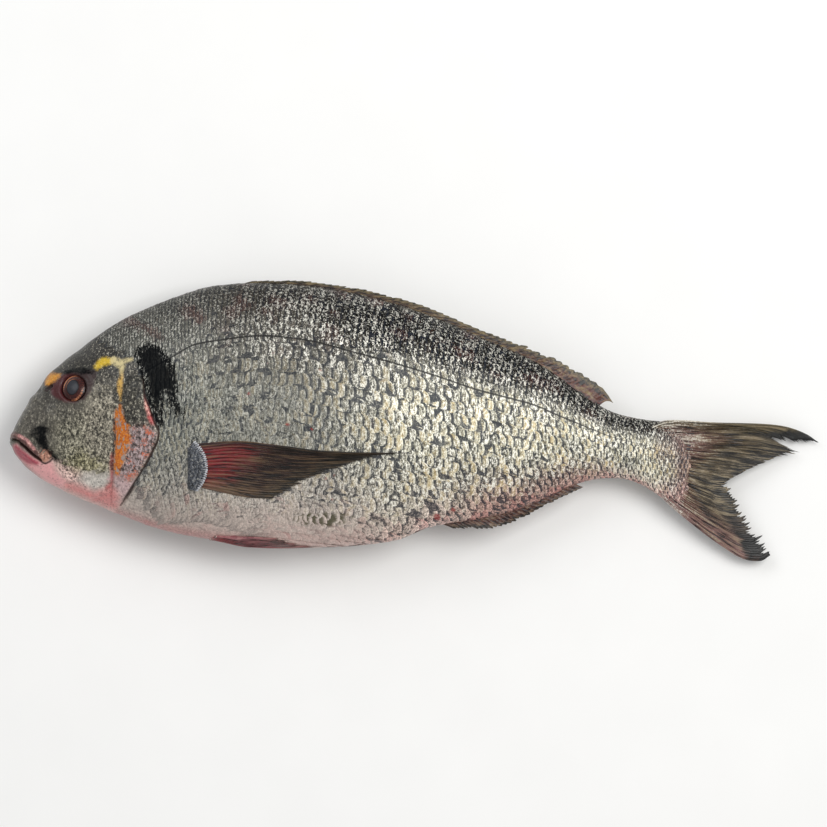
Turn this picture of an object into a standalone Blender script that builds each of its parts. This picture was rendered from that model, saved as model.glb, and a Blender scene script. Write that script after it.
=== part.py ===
"""A whole raw bream lying on its right side, left flank up.

The frame: +X runs from the snout to the tail, +Y from the belly to the back, and +Z up out of the left
flank. The origin is on the surface that the fish lies on, under the middle of its outline.
Body, head and fins are one solid, because the fins grow out of the body. The eyes are solids of their own.
"""

import math

import bmesh
import bpy
from mathutils import Matrix, Vector

MM = 0.001

# Driving sizes, in millimetres.
TOTAL_LENGTH = 350.0
FLANK_HEIGHT = 22.6  # the middle plane of the body above the surface that it lies on
TAIL_DROOP = 20.0  # how far the middle plane has sunk at the tip of the tail
DROOP_START = -10.0
DROOP_POWER = 1.6
BACK_SHARPNESS = 1.2  # powers of the cosine in a cross-section: 1 is an ellipse, more is a sharper ridge
BELLY_SHARPNESS = 0.96
BODY_STATIONS = 58
BODY_RING = 48
STATION_CROWDING = 1.5  # more than 1 puts the stations closer together at the snout

# The side view: x, y pairs from snout to tail.
BACK = [
    (-175, -7.2), (-172.8, -1.9), (-169.3, 4.5), (-162.4, 14.4), (-159.2, 19.2), (-153.8, 24.2),
    (-145.2, 30.9), (-127.9, 42.7), (-110.6, 50.6), (-93.3, 56.7), (-84, 58.4), (-67.4, 59.4),
    (-50, 58.5), (-32.8, 56.1), (-15.6, 52.2), (1.7, 46.9), (19, 40), (30.2, 34.8), (50.1, 26.2),
    (60.9, 19.5), (69.1, 13.2), (77.3, 7.6), (86, 3.2), (96.8, 0.6), (108.9, -0.9), (118, -2.6),
]
BELLY = [
    (-175, -9.8), (-173.8, -13), (-171.2, -17.1), (-167.8, -20.8), (-162.4, -24.8), (-153.8, -29.7),
    (-136.5, -37.1), (-119.2, -44.3), (-102, -49.3), (-76, -53.2), (-58.8, -54.6), (-41.5, -54.7),
    (-24.2, -53.7), (-6.9, -51.3), (1.7, -47.4), (9.1, -45.3), (29.4, -42.2), (41.9, -39.2),
    (54.4, -34.4), (63.9, -29.8), (71.3, -26.8), (81.6, -24.9), (91.1, -25.4), (98.5, -28.2),
    (108.9, -35), (118, -41.5),
]
# Half the thickness across the fish: x, half thickness.
HALF_THICKNESS = [
    (-175, 3.2), (-173, 5.4), (-170, 7.2), (-165, 9.3), (-158, 11.7), (-147, 14.9), (-135, 18),
    (-120, 21), (-105, 23), (-85, 24.2), (-60, 24.2), (-35, 23), (-10, 20.6), (15, 17.2), (40, 13.2),
    (62, 9.8), (82, 7.2), (98, 5.4), (110, 3.4), (118, 1.6),
]
BODY_START, BODY_END = BACK[0][0], BACK[-1][0]

# The rear edge of the gill cover, top to bottom.
GILL_EDGE = [
    (-117, 19), (-116.4, 10.3), (-114.3, 5.6), (-112.2, -1.2), (-110.2, -5.4), (-111.7, -10.6),
    (-114.3, -17.5), (-117.9, -24.8), (-123.2, -32.6), (-127, -36.4),
]
COVER_RISE = 1.5  # how far the gill cover's edge stands over the shoulder
COVER_LENGTH = 24.0
COVER_EDGE_WIDTH = 1.6  # how far the edge takes to rise
COVER_FADE = 8.0  # how far the rise takes to fade out past the edge's ends
SLIT_WIDTH, SLIT_DEPTH, SLIT_REACH = 1.5, 2.4, 2.2

EYE_PLACE = (-147.3, 14.0)
EYE_RADIUS, EYE_HALF_DEPTH = 6.6, 4.6
EYE_SINK = 3.0  # the eye's middle under the skin
SOCKET_GAP = 0.3

# The closed lips, from the snout to the corner of the mouth.
MOUTH_LINE = [(-178, -6.4), (-171.8, -12.4), (-167.2, -15.3), (-162.4, -17.5)]
MOUTH_GAP = 0.9
NOSTRIL_PLACE = (-157.6, 14.2)
NOSTRIL_LENGTH, NOSTRIL_WIDTH = 2.4, 1.2

# Fins. A fin's outline is four edges: its root, its first and last ray, and its tips.
TAIL_TOP_RAY = [
    (100, -3), (108.9, 0.1), (129.9, -0.9), (150.8, -1.5), (161.1, -2.8), (169.6, -5.9), (175.1, -9.6),
]
TAIL_LOW_RAY = [
    (100, -26), (108.9, -35.8), (124.6, -48.8), (135.1, -56.2), (142.4, -60.2), (149.8, -61.2), (153.5, -60),
]
# The tips run back into the slit behind the upper lobe's leading ray, and into the fork.
TAIL_TIPS = [
    (175.1, -9.6), (168, -9.7), (158, -9.3), (163, -12.2), (167, -14.2), (159, -15.6), (152.9, -17.9),
    (142, -22.6), (135.6, -26.7), (137.4, -31.1), (140.6, -38), (145, -45.5), (150, -52), (153.5, -60),
]
TAIL_RAYS, TAIL_STEPS = 22, 8
TAIL_THICKNESS, TAIL_EDGE = 2.6, 0.9
TAIL_FRAY = 0.06  # the share of a ray by which the web between two rays falls short of their tips

BACK_FIN_START, BACK_FIN_END = -84.0, 82.0
BACK_FIN_EDGE = [
    (-84, 58.8), (-67.4, 60.4), (-50.1, 60.5), (-37.2, 58.9), (-21.6, 56.6), (-2.6, 51.6), (13.4, 45.8),
    (27.6, 39.4), (42.3, 34.3), (53.6, 30), (62.2, 26), (71.3, 21), (81, 14), (85.4, 7.6),
]
BACK_FIN_SWEEP, BACK_FIN_RAYS = 7.0, 22  # the sweep is how far the tips lie behind their roots
ANAL_FIN_START, ANAL_FIN_END = 8.0, 71.5
ANAL_FIN_EDGE = [
    (8, -46.2), (19, -46.8), (29.8, -47.1), (36.3, -46), (44.9, -42.9), (53.6, -38.5), (62.2, -33.8),
    (70.8, -29.8), (75, -27),
]
ANAL_FIN_SWEEP, ANAL_FIN_RAYS = 4.0, 10
LOW_FIN_STEPS = 3
LOW_FIN_ROOT = 2.0  # how deep the roots of these two fins lie in the body
LOW_FIN_THICKNESS, LOW_FIN_EDGE = 2.2, 0.8
LOW_FIN_NOTCH = 0.12  # the share of a ray by which the web falls short of the tips

PECTORAL_ROOT = [(-97, -10.2), (-94, -15), (-93, -20), (-96, -28)]
PECTORAL_TOP_RAY = [(-97, -10.2), (-76.2, -8.8), (-59.2, -10.5), (-42, -12.7), (-24, -13.6), (-3, -13.8)]
PECTORAL_LOW_RAY = [(-96, -28), (-84.8, -30.5), (-72, -33), (-61.8, -33.5)]
PECTORAL_TIPS = [(-3, -13.8), (-16.4, -15.6), (-33.5, -20.7), (-49.8, -27.5), (-61.8, -33.5)]
PECTORAL_RAYS, PECTORAL_STEPS = 7, 12
PECTORAL_RISE, PECTORAL_TIP_RISE = 1.1, 1.9  # its outer face over the flank
PECTORAL_SINK = 0.9  # its inner face under the flank
PECTORAL_LOWEST = 0.8  # the lower fin is pressed into the flank that the fish lies on

# The pelvic fins lie folded under the belly: x, and the distance out from the middle plane.
PELVIC_ROOT = [(-84, 2.5), (-82, 6.5)]
PELVIC_INNER_RAY = [(-84, 2.5), (-66, 2.6), (-44, 3.6)]
PELVIC_OUTER_RAY = [(-82, 6.5), (-71, 9.2), (-60, 9.6)]
PELVIC_TIPS = [(-44, 3.6), (-52, 7.2), (-60, 9.6)]
PELVIC_RAYS, PELVIC_STEPS = 3, 8
PELVIC_RISE, PELVIC_SINK = 1.6, 1.2
PELVIC_WIDEST = 0.95  # the share of the half thickness that they may reach

RAY_RELIEF = 0.2  # how much thinner the web is than a ray, as half the difference over the ray
SIDES = ((1, "left"), (-1, "right"))


def through(points, x):
    """The height at x of a smooth curve through the points, which are x, y pairs with x rising."""
    if x <= points[0][0]:
        return points[0][1]
    if x >= points[-1][0]:
        return points[-1][1]
    k = max(i for i in range(len(points) - 1) if points[i][0] <= x)

    def slope(i):
        low, high = points[max(i - 1, 0)], points[min(i + 1, len(points) - 1)]
        return (high[1] - low[1]) / (high[0] - low[0])

    (x0, y0), (x1, y1) = points[k], points[k + 1]
    span = x1 - x0
    t = (x - x0) / span
    return (
        (2 * t**3 - 3 * t**2 + 1) * y0
        + (t**3 - 2 * t**2 + t) * span * slope(k)
        + (3 * t**2 - 2 * t**3) * y1
        + (t**3 - t**2) * span * slope(k + 1)
    )


def along(points, t):
    """The point at share t of the way along a smooth path through the points, spaced by their distances."""
    lengths = [0.0]
    for a, b in zip(points, points[1:]):
        lengths.append(lengths[-1] + math.dist(a, b))
    place = t * lengths[-1]
    return tuple(through([(s, p[axis]) for s, p in zip(lengths, points)], place) for axis in (0, 1))


def smooth(t):
    """A step from 0 to 1 with level ends."""
    t = min(max(t, 0.0), 1.0)
    return t * t * (3 - 2 * t)


def middle_height(x):
    """The height of the fish's middle plane, which sinks towards the tail."""
    share = max(x - DROOP_START, 0.0) / (TOTAL_LENGTH / 2 - DROOP_START)
    return FLANK_HEIGHT - TAIL_DROOP * share**DROOP_POWER


def gill_edge_at(y):
    """The x of the gill cover's rear edge at the height y in the side view."""
    return through([(py, px) for px, py in reversed(GILL_EDGE)], y)


def cover_relief(x, y):
    """How far the gill cover stands out at x, y: most at its rear edge, nothing behind it."""
    ahead = gill_edge_at(y) - x
    top, bottom = GILL_EDGE[0][1], GILL_EDGE[-1][1]
    window = smooth((top - y) / COVER_FADE + 0.5) * smooth((y - bottom) / COVER_FADE + 0.25)
    return COVER_RISE * smooth(ahead / COVER_EDGE_WIDTH + 0.5) * (1 - smooth(ahead / COVER_LENGTH)) * window


def flank(x, y):
    """How far the flank stands out from the middle plane at x, y."""
    top, bottom = through(BACK, x), through(BELLY, x)
    middle, half = (top + bottom) / 2, (top - bottom) / 2
    share = min(abs(y - middle) / half, 1.0)
    power = BACK_SHARPNESS if y > middle else BELLY_SHARPNESS
    return through(HALF_THICKNESS, x) * (1 - share**2) ** (power / 2) + cover_relief(x, y)


def skin_height(x, y, side):
    """The height of the skin over the ground, on the left flank for side 1 and on the right for -1."""
    return max(middle_height(x) + side * flank(x, y), 0.0)


def new_object(name, mesh, collection):
    """An object of that mesh in the collection."""
    obj = bpy.data.objects.new(name, mesh)
    collection.objects.link(obj)
    return obj


def new_collection(name):
    """A collection in the scene."""
    made = bpy.data.collections.new(name)
    bpy.context.scene.collection.children.link(made)
    return made


def finish_mesh(bm, name):
    """The mesh of bm, with its faces pointing out."""
    bmesh.ops.recalc_face_normals(bm, faces=bm.faces)
    mesh = bpy.data.meshes.new(name)
    bm.to_mesh(mesh)
    bm.free()
    return mesh


def loft(name, rings):
    """A closed mesh through rings of as many points each, with a flat face on both ends."""
    bm = bmesh.new()
    verts = [[bm.verts.new(Vector(p) * MM) for p in ring] for ring in rings]
    count = len(verts[0])
    for a, b in zip(verts, verts[1:]):
        for k in range(count):
            bm.faces.new((a[k], a[(k + 1) % count], b[(k + 1) % count], b[k]))
    bm.faces.new(verts[0])
    bm.faces.new(verts[-1])
    return finish_mesh(bm, name)


def body_ring(x):
    """The cross-section at x: a narrow egg that is flat where the fish lies on it."""
    top, bottom = through(BACK, x), through(BELLY, x)
    ring = []
    for k in range(BODY_RING):
        angle = 2 * math.pi * (k + 0.5) / BODY_RING
        y = (top + bottom) / 2 + (top - bottom) / 2 * math.sin(angle)
        ring.append((x, y, skin_height(x, y, 1 if math.cos(angle) > 0 else -1)))
    return ring


def make_body(collection):
    """Body and head, without the fins."""
    stations = [
        BODY_START + (BODY_END - BODY_START) * (k / BODY_STATIONS) ** STATION_CROWDING
        for k in range(BODY_STATIONS + 1)
    ]
    return new_object("fish", loft("fish", [body_ring(x) for x in stations]), collection)


def make_fin(name, point, thickness, rays, steps, collection):
    """A fin as a sheet with Solidify.

    point(q, s) gives the place at share q of the way from the first ray to the last, and s from root to tip.
    thickness(q, s) gives how thick it is there, in millimetres.
    Every second column is a ray and stands proud.
    """
    bm = bmesh.new()
    bmesh.ops.create_grid(bm, x_segments=2 * rays, y_segments=steps, size=0.5)
    weights = {}
    for vert in bm.verts:
        q, s = vert.co.x + 0.5, vert.co.y + 0.5
        vert.co = Vector(point(q, s)) * MM
        weights[vert.index] = thickness(q, s)
    mesh = bpy.data.meshes.new(name)
    bm.to_mesh(mesh)
    bm.free()
    fin = new_object(name, mesh, collection)
    most = max(weights.values())
    group = fin.vertex_groups.new(name="thickness")
    for index, weight in weights.items():
        group.add([index], weight / most, "REPLACE")
    shell = fin.modifiers.new("thickness", "SOLIDIFY")
    shell.thickness = most * MM
    shell.offset = 0
    shell.vertex_group = group.name
    return fin


def patch(first, last, root, tips, q, s):
    """The place at q, s of a fin whose four edges are given as paths in the side view."""
    across = [along(path, s) for path in (first, last)]
    down = [along(path, q) for path in (root, tips)]
    corners = [
        (first[0], (1 - q) * (1 - s)),
        (last[0], q * (1 - s)),
        (first[-1], (1 - q) * s),
        (last[-1], q * s),
    ]
    place = []
    for axis in (0, 1):
        edges = (1 - q) * across[0][axis] + q * across[1][axis] + (1 - s) * down[0][axis] + s * down[1][axis]
        place.append(edges - sum(weight * corner[axis] for corner, weight in corners))
    return place


def ray_ridge(q, rays):
    """1 on a ray and less on the membrane between two rays."""
    return 1 - RAY_RELIEF * (1 - math.cos(math.tau * q * rays))


def make_tail_fin(collection):
    """The forked tail fin, whose root lies inside the end of the body."""
    root = [TAIL_TOP_RAY[0], TAIL_LOW_RAY[0]]

    def point(q, s):
        share = s * (1 - TAIL_FRAY * (1 - math.cos(math.tau * q * TAIL_RAYS / 2)) / 2)
        x, y = patch(TAIL_TOP_RAY, TAIL_LOW_RAY, root, TAIL_TIPS, q, share)
        return x, y, middle_height(x)

    def thickness(q, s):
        return (TAIL_THICKNESS + (TAIL_EDGE - TAIL_THICKNESS) * s) * ray_ridge(q, TAIL_RAYS)

    return make_fin("tail_fin", point, thickness, TAIL_RAYS, TAIL_STEPS, collection)


def make_ridge_fin(name, start, end, ridge, edge, sweep, rays, collection):
    """A fin along the back or the belly, from a root inside the body out to its edge."""
    inward = -LOW_FIN_ROOT if edge[0][1] > 0 else LOW_FIN_ROOT

    def point(q, s):
        root_x = start + (end - start) * q
        tip_x = min(root_x + sweep * smooth(q * 3), edge[-1][0])
        tip_y = through(edge, tip_x)
        share = s * (1 - LOW_FIN_NOTCH * (1 - math.cos(math.tau * q * rays)) / 2)
        root_y = through(ridge, root_x) + inward
        x = root_x + (tip_x - root_x) * share
        return x, root_y + (tip_y - root_y) * share, middle_height(x)

    def thickness(q, s):
        return (LOW_FIN_THICKNESS + (LOW_FIN_EDGE - LOW_FIN_THICKNESS) * s) * ray_ridge(q, rays)

    return make_fin(name, point, thickness, rays, LOW_FIN_STEPS, collection)


def make_pectoral_fin(name, side, collection):
    """A long pectoral fin folded back along the flank. side is 1 on the left and -1 on the right."""

    def rise(s):
        return PECTORAL_RISE + (PECTORAL_TIP_RISE - PECTORAL_RISE) * s

    def point(q, s):
        x, y = patch(PECTORAL_TOP_RAY, PECTORAL_LOW_RAY, PECTORAL_ROOT, PECTORAL_TIPS, q, s)
        outer = max(middle_height(x) + side * (flank(x, y) + rise(s)), PECTORAL_LOWEST)
        return x, y, outer - side * (rise(s) + PECTORAL_SINK) / 2

    def thickness(q, s):
        return rise(s) + PECTORAL_SINK

    return make_fin(name, point, thickness, PECTORAL_RAYS, PECTORAL_STEPS, collection)


def make_pelvic_fin(name, side, collection):
    """A pelvic fin folded back against the belly, which it joins all along."""

    def point(q, s):
        x, out = patch(PELVIC_INNER_RAY, PELVIC_OUTER_RAY, PELVIC_ROOT, PELVIC_TIPS, q, s)
        top, bottom = through(BACK, x), through(BELLY, x)
        share = min(out / through(HALF_THICKNESS, x), PELVIC_WIDEST)
        drop = (1 - share ** (2 / BELLY_SHARPNESS)) ** 0.5
        y = (top + bottom) / 2 - (top - bottom) / 2 * drop
        return x, y - (PELVIC_RISE - PELVIC_SINK) / 2, middle_height(x) + side * out

    def thickness(q, s):
        return PELVIC_RISE + PELVIC_SINK

    return make_fin(name, point, thickness, PELVIC_RAYS, PELVIC_STEPS, collection)


def skin_frame(x, y, side):
    """The turn that takes +Z to the skin's normal at x, y on that side."""
    step = 1.0
    slope_x = (skin_height(x + step, y, side) - skin_height(x - step, y, side)) / (2 * step)
    slope_y = (skin_height(x, y + step, side) - skin_height(x, y - step, side)) / (2 * step)
    normal = Vector((-slope_x, -slope_y, 1.0)) * side
    return normal.to_track_quat("Z", "Y").to_matrix().to_4x4()


def ellipsoid(name, place, side, radii, sink, collection, segments=20, rings=12):
    """An ellipsoid whose short axis stands square to the skin at place, with its middle sunk under it."""
    x, y = place
    bm = bmesh.new()
    bmesh.ops.create_uvsphere(bm, u_segments=segments, v_segments=rings, radius=1.0)
    stretch = Matrix.Diagonal((*radii, 1.0))
    turn = skin_frame(x, y, side)
    middle = Vector((x, y, skin_height(x, y, side))) - turn @ Vector((0, 0, sink))
    bmesh.ops.transform(bm, matrix=turn @ stretch, verts=bm.verts)
    bmesh.ops.scale(bm, vec=(MM, MM, MM), verts=bm.verts)
    obj = new_object(name, finish_mesh(bm, name), collection)
    obj.location = middle * MM
    return obj


def make_gill_slit(name, side, collection):
    """A cutter along the gill cover's rear edge, which reaches in and forward under the cover."""
    edge_gap = 0.1
    rings = []
    for x, y in GILL_EDGE:
        z = middle_height(x) + side * flank(x + SLIT_WIDTH, y)
        ring = [
            (x + edge_gap, y, z + side * SLIT_DEPTH),
            (x + edge_gap + SLIT_WIDTH, y, z + side * SLIT_DEPTH),
            (x + edge_gap + SLIT_WIDTH * 0.6, y, z),
            (x - SLIT_REACH, y, z - side * SLIT_DEPTH),
        ]
        rings.append(ring)
    return new_object(name, loft(name, rings), collection)


def make_mouth_slit(collection):
    """A cutter between the lips, right across the snout."""
    half = MOUTH_GAP / 2
    across = 2 * FLANK_HEIGHT
    rings = [
        [(x, y + half, 0), (x, y + half, across), (x, y - half, across), (x, y - half, 0)]
        for x, y in MOUTH_LINE
    ]
    return new_object("mouth_slit", loft("mouth_slit", rings), collection)


def add_boolean(obj, operation, collection):
    """Joins the collection's objects to obj, or cuts them out of it."""
    modifier = obj.modifiers.new(operation.lower(), "BOOLEAN")
    modifier.operation = operation
    modifier.operand_type = "COLLECTION"
    modifier.collection = collection
    modifier.solver = "EXACT"


def apply_modifiers(obj):
    """Replaces obj's mesh by its evaluated mesh."""
    bpy.context.view_layer.update()
    evaluated = obj.evaluated_get(bpy.context.evaluated_depsgraph_get())
    obj.data = bpy.data.meshes.new_from_object(evaluated)
    obj.modifiers.clear()


def material(name, colour, roughness, metallic):
    """A Principled material."""
    made = bpy.data.materials.new(name)
    made.use_nodes = True
    shader = made.node_tree.nodes["Principled BSDF"]
    shader.inputs["Base Color"].default_value = (*colour, 1)
    shader.inputs["Roughness"].default_value = roughness
    shader.inputs["Metallic"].default_value = metallic
    return made


def dress(obj, mat):
    """Gives obj one material and smooth shading."""
    obj.data.materials.clear()
    obj.data.materials.append(mat)
    obj.data.shade_smooth()
    obj.data.set_sharp_from_angle(angle=math.radians(40))


def join_fins(body, fins):
    """Fills the fins' collection, joins the fins to the body and removes them."""
    back = (BACK_FIN_START, BACK_FIN_END, BACK, BACK_FIN_EDGE, BACK_FIN_SWEEP, BACK_FIN_RAYS)
    anal = (ANAL_FIN_START, ANAL_FIN_END, BELLY, ANAL_FIN_EDGE, ANAL_FIN_SWEEP, ANAL_FIN_RAYS)
    make_tail_fin(fins)
    make_ridge_fin("back_fin", *back, fins)
    make_ridge_fin("anal_fin", *anal, fins)
    for side, word in SIDES:
        make_pectoral_fin(f"pectoral_fin_{word}", side, fins)
        make_pelvic_fin(f"pelvic_fin_{word}", side, fins)
    add_boolean(body, "UNION", fins)
    apply_modifiers(body)
    for obj in list(fins.objects):
        bpy.data.objects.remove(obj)
    bpy.data.collections.remove(fins)


def cut_openings(body, cutters):
    """Cuts the mouth, the gill slits, the nostrils and the eye sockets into the body."""
    make_mouth_slit(cutters)
    nostril = (NOSTRIL_LENGTH / 2, NOSTRIL_WIDTH / 2, NOSTRIL_WIDTH)
    socket = (EYE_RADIUS + SOCKET_GAP, EYE_RADIUS + SOCKET_GAP, EYE_HALF_DEPTH + SOCKET_GAP)
    for side, word in SIDES:
        make_gill_slit(f"gill_slit_{word}", side, cutters)
        ellipsoid(f"nostril_{word}", NOSTRIL_PLACE, side, nostril, 0, cutters, segments=8, rings=6)
        ellipsoid(f"eye_socket_{word}", EYE_PLACE, side, socket, EYE_SINK, cutters)
    add_boolean(body, "DIFFERENCE", cutters)
    for cutter in cutters.objects:
        cutter.hide_render = True
        cutter.display_type = "WIRE"
    apply_modifiers(body)


def main():
    """Builds the fish."""
    for obj in list(bpy.data.objects):
        bpy.data.objects.remove(obj)
    whole = new_collection("whole_raw_fish")

    body = make_body(whole)
    join_fins(body, new_collection("fins_to_join"))
    cut_openings(body, new_collection("cutters"))
    dress(body, material("skin", (0.4, 0.4, 0.37), 0.35, 0.25))

    iris = material("eye", (0.33, 0.2, 0.12), 0.15, 0.3)
    radii = (EYE_RADIUS, EYE_RADIUS, EYE_HALF_DEPTH)
    for side, word in SIDES:
        dress(ellipsoid(f"eye_{word}", EYE_PLACE, side, radii, EYE_SINK, whole), iris)


main()
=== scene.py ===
"""The looks of a whole raw sea bream that lies on its right flank with its left flank up.

+X runs from the snout to the tail, +Y from the belly to the back and +Z up out of the left flank. Sizes are
in millimetres and turn into metres where a mesh is made. The outlines are those of the solids that the
pieces stand for. side is 1 on the left flank and -1 on the right one.
"""

import logging
import math
from collections.abc import Callable
from dataclasses import dataclass, field
from enum import Enum

import bpy
import numpy as np
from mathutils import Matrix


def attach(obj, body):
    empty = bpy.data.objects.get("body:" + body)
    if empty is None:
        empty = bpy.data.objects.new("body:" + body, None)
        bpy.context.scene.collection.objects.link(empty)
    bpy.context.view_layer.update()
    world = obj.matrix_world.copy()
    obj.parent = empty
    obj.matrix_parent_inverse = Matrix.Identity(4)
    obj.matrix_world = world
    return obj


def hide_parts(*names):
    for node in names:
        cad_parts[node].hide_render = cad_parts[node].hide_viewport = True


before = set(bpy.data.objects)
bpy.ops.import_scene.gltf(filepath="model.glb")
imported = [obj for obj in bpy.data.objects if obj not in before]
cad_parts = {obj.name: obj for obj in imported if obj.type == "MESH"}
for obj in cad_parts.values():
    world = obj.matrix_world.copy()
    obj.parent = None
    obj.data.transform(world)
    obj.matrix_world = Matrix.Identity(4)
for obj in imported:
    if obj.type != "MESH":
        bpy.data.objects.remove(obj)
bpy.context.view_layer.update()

Array = np.ndarray
Field = Callable[[Array, Array], Array]  # what a sheet has at q across it and s out of its root
Points = tuple[tuple[float, float], ...]
Colour = tuple[float, float, float]

MM = 0.001
BODY = "root"  # the fish is one body
SEED = 11
FAR, TINY = 1e9, 1e-9
DEEPEST = 9.0  # marks are stored between this and its opposite
LEAST_HEIGHT = 0.02  # nothing is pressed lower than this over the surface that the fish lies on
SIDES = ((1, "left"), (-1, "right"))
log = logging.getLogger("bream")


def smooth(t: Array | float) -> Array:
    """A step from 0 to 1 with level ends."""
    t = np.clip(t, 0.0, 1.0)
    return t * t * (3 - 2 * t)


def rise(value: Array | float, low: float, high: float) -> Array:
    """0 below low, 1 above high and a smooth step between; high may be the lower one."""
    return smooth((np.asarray(value, dtype=float) - low) / (high - low))


def bell(value: Array | float, width: float) -> Array:
    """1 at nought and falling away on both sides over that width."""
    return np.exp(-np.square(np.asarray(value, dtype=float) / width))


@dataclass(frozen=True)
class Profile:
    """A smooth height over x through a few points, level beyond its ends."""

    points: Points

    def __call__(self, x: Array | float) -> Array:
        """The height at x.

        Args:
            x: One place or an array of places.

        Returns:
            The heights, in the shape of x.
        """
        knots = np.array(self.points, dtype=float)
        xs, ys = knots[:, 0], knots[:, 1]
        before, after = np.maximum(np.arange(len(xs)) - 1, 0), np.minimum(np.arange(len(xs)) + 1, len(xs) - 1)
        slopes = (ys[after] - ys[before]) / (xs[after] - xs[before])
        x = np.clip(np.asarray(x, dtype=float), xs[0], xs[-1])
        k = np.clip(np.searchsorted(xs, x, side="right") - 1, 0, len(xs) - 2)
        span = xs[k + 1] - xs[k]
        t = (x - xs[k]) / span
        return (
            (2 * t**3 - 3 * t**2 + 1) * ys[k]
            + (t**3 - 2 * t**2 + t) * span * slopes[k]
            + (3 * t**2 - 2 * t**3) * ys[k + 1]
            + (t**3 - t**2) * span * slopes[k + 1]
        )


@dataclass(frozen=True)
class Path:
    """A smooth path through points in the side view."""

    points: Points

    def reach(self) -> Array:
        """How far along the path each of its points lies."""
        steps = np.diff(np.array(self.points, dtype=float), axis=0)
        return np.concatenate(([0.0], np.cumsum(np.hypot(steps[:, 0], steps[:, 1]))))

    def __call__(self, t: Array | float) -> tuple[Array, Array]:
        """The x and y at share t of the way along.

        Args:
            t: One share or an array of them.

        Returns:
            The two, in the shape of t.
        """
        reach = self.reach()
        place = np.asarray(t, dtype=float) * reach[-1]
        x, y = (Profile(tuple(zip(reach, (p[axis] for p in self.points))))(place) for axis in (0, 1))
        return x, y

    def dense(self, count: int = 160) -> Array:
        """Points close together along the path."""
        return np.stack(self(np.linspace(0, 1, count)), axis=1)


def away_from_line(x: Array, y: Array, line: Array) -> Array:
    """How far each x, y is from a line of points.

    Args:
        x: Places along the fish.
        y: Places up the fish, in the same shape.
        line: The points of the line, one row each.

    Returns:
        The distances, in the shape of x.
    """
    least = np.full(np.shape(x), FAR)
    for (x0, y0), (x1, y1) in zip(line[:-1], line[1:]):
        dx, dy = x1 - x0, y1 - y0
        t = np.clip(((x - x0) * dx + (y - y0) * dy) / max(dx * dx + dy * dy, TINY), 0, 1)
        least = np.minimum(least, np.hypot(x - x0 - t * dx, y - y0 - t * dy))
    return least


def depth_in(x: Array, y: Array, outline: Points) -> Array:
    """How deep each x, y lies inside a closed outline, less than nought outside it.

    Args:
        x: Places along the fish.
        y: Places up the fish.
        outline: The outline's corners.

    Returns:
        The depths, in the shape of x.
    """
    ring = np.array((*outline, outline[0]), dtype=float)
    inside = np.zeros(np.shape(x), dtype=bool)
    for (x0, y0), (x1, y1) in zip(ring[:-1], ring[1:]):
        if y0 != y1:
            inside ^= ((y0 > y) != (y1 > y)) & (x < x0 + (y - y0) / (y1 - y0) * (x1 - x0))
    return np.where(inside, 1.0, -1.0) * away_from_line(x, y, ring)


def in_ellipse(x: Array, y: Array, middle: tuple[float, float], radii: tuple[float, float]) -> Array:
    """About how deep each x, y lies inside an upright ellipse."""
    return (1 - np.hypot((x - middle[0]) / radii[0], (y - middle[1]) / radii[1])) * min(radii)


def waves(x: Array, y: Array, size: float, seed: int) -> Array:
    """A soft uneven field between about -1 and 1 whose bumps are about that size.

    Args:
        x: Places along the fish.
        y: Places up the fish.
        size: How wide a bump is, in millimetres.
        seed: Which field it is.

    Returns:
        The field, in the shape of x.
    """
    rng = np.random.default_rng(seed)
    total = np.zeros(np.shape(x))
    count = 9
    for _ in range(count):
        turn, shift = rng.uniform(0, math.tau, 2)
        pitch = math.tau / (size * rng.uniform(1.2, 3.2))
        total += np.sin((x * math.cos(turn) + y * math.sin(turn)) * pitch + shift)
    return total / math.sqrt(count)


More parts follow.
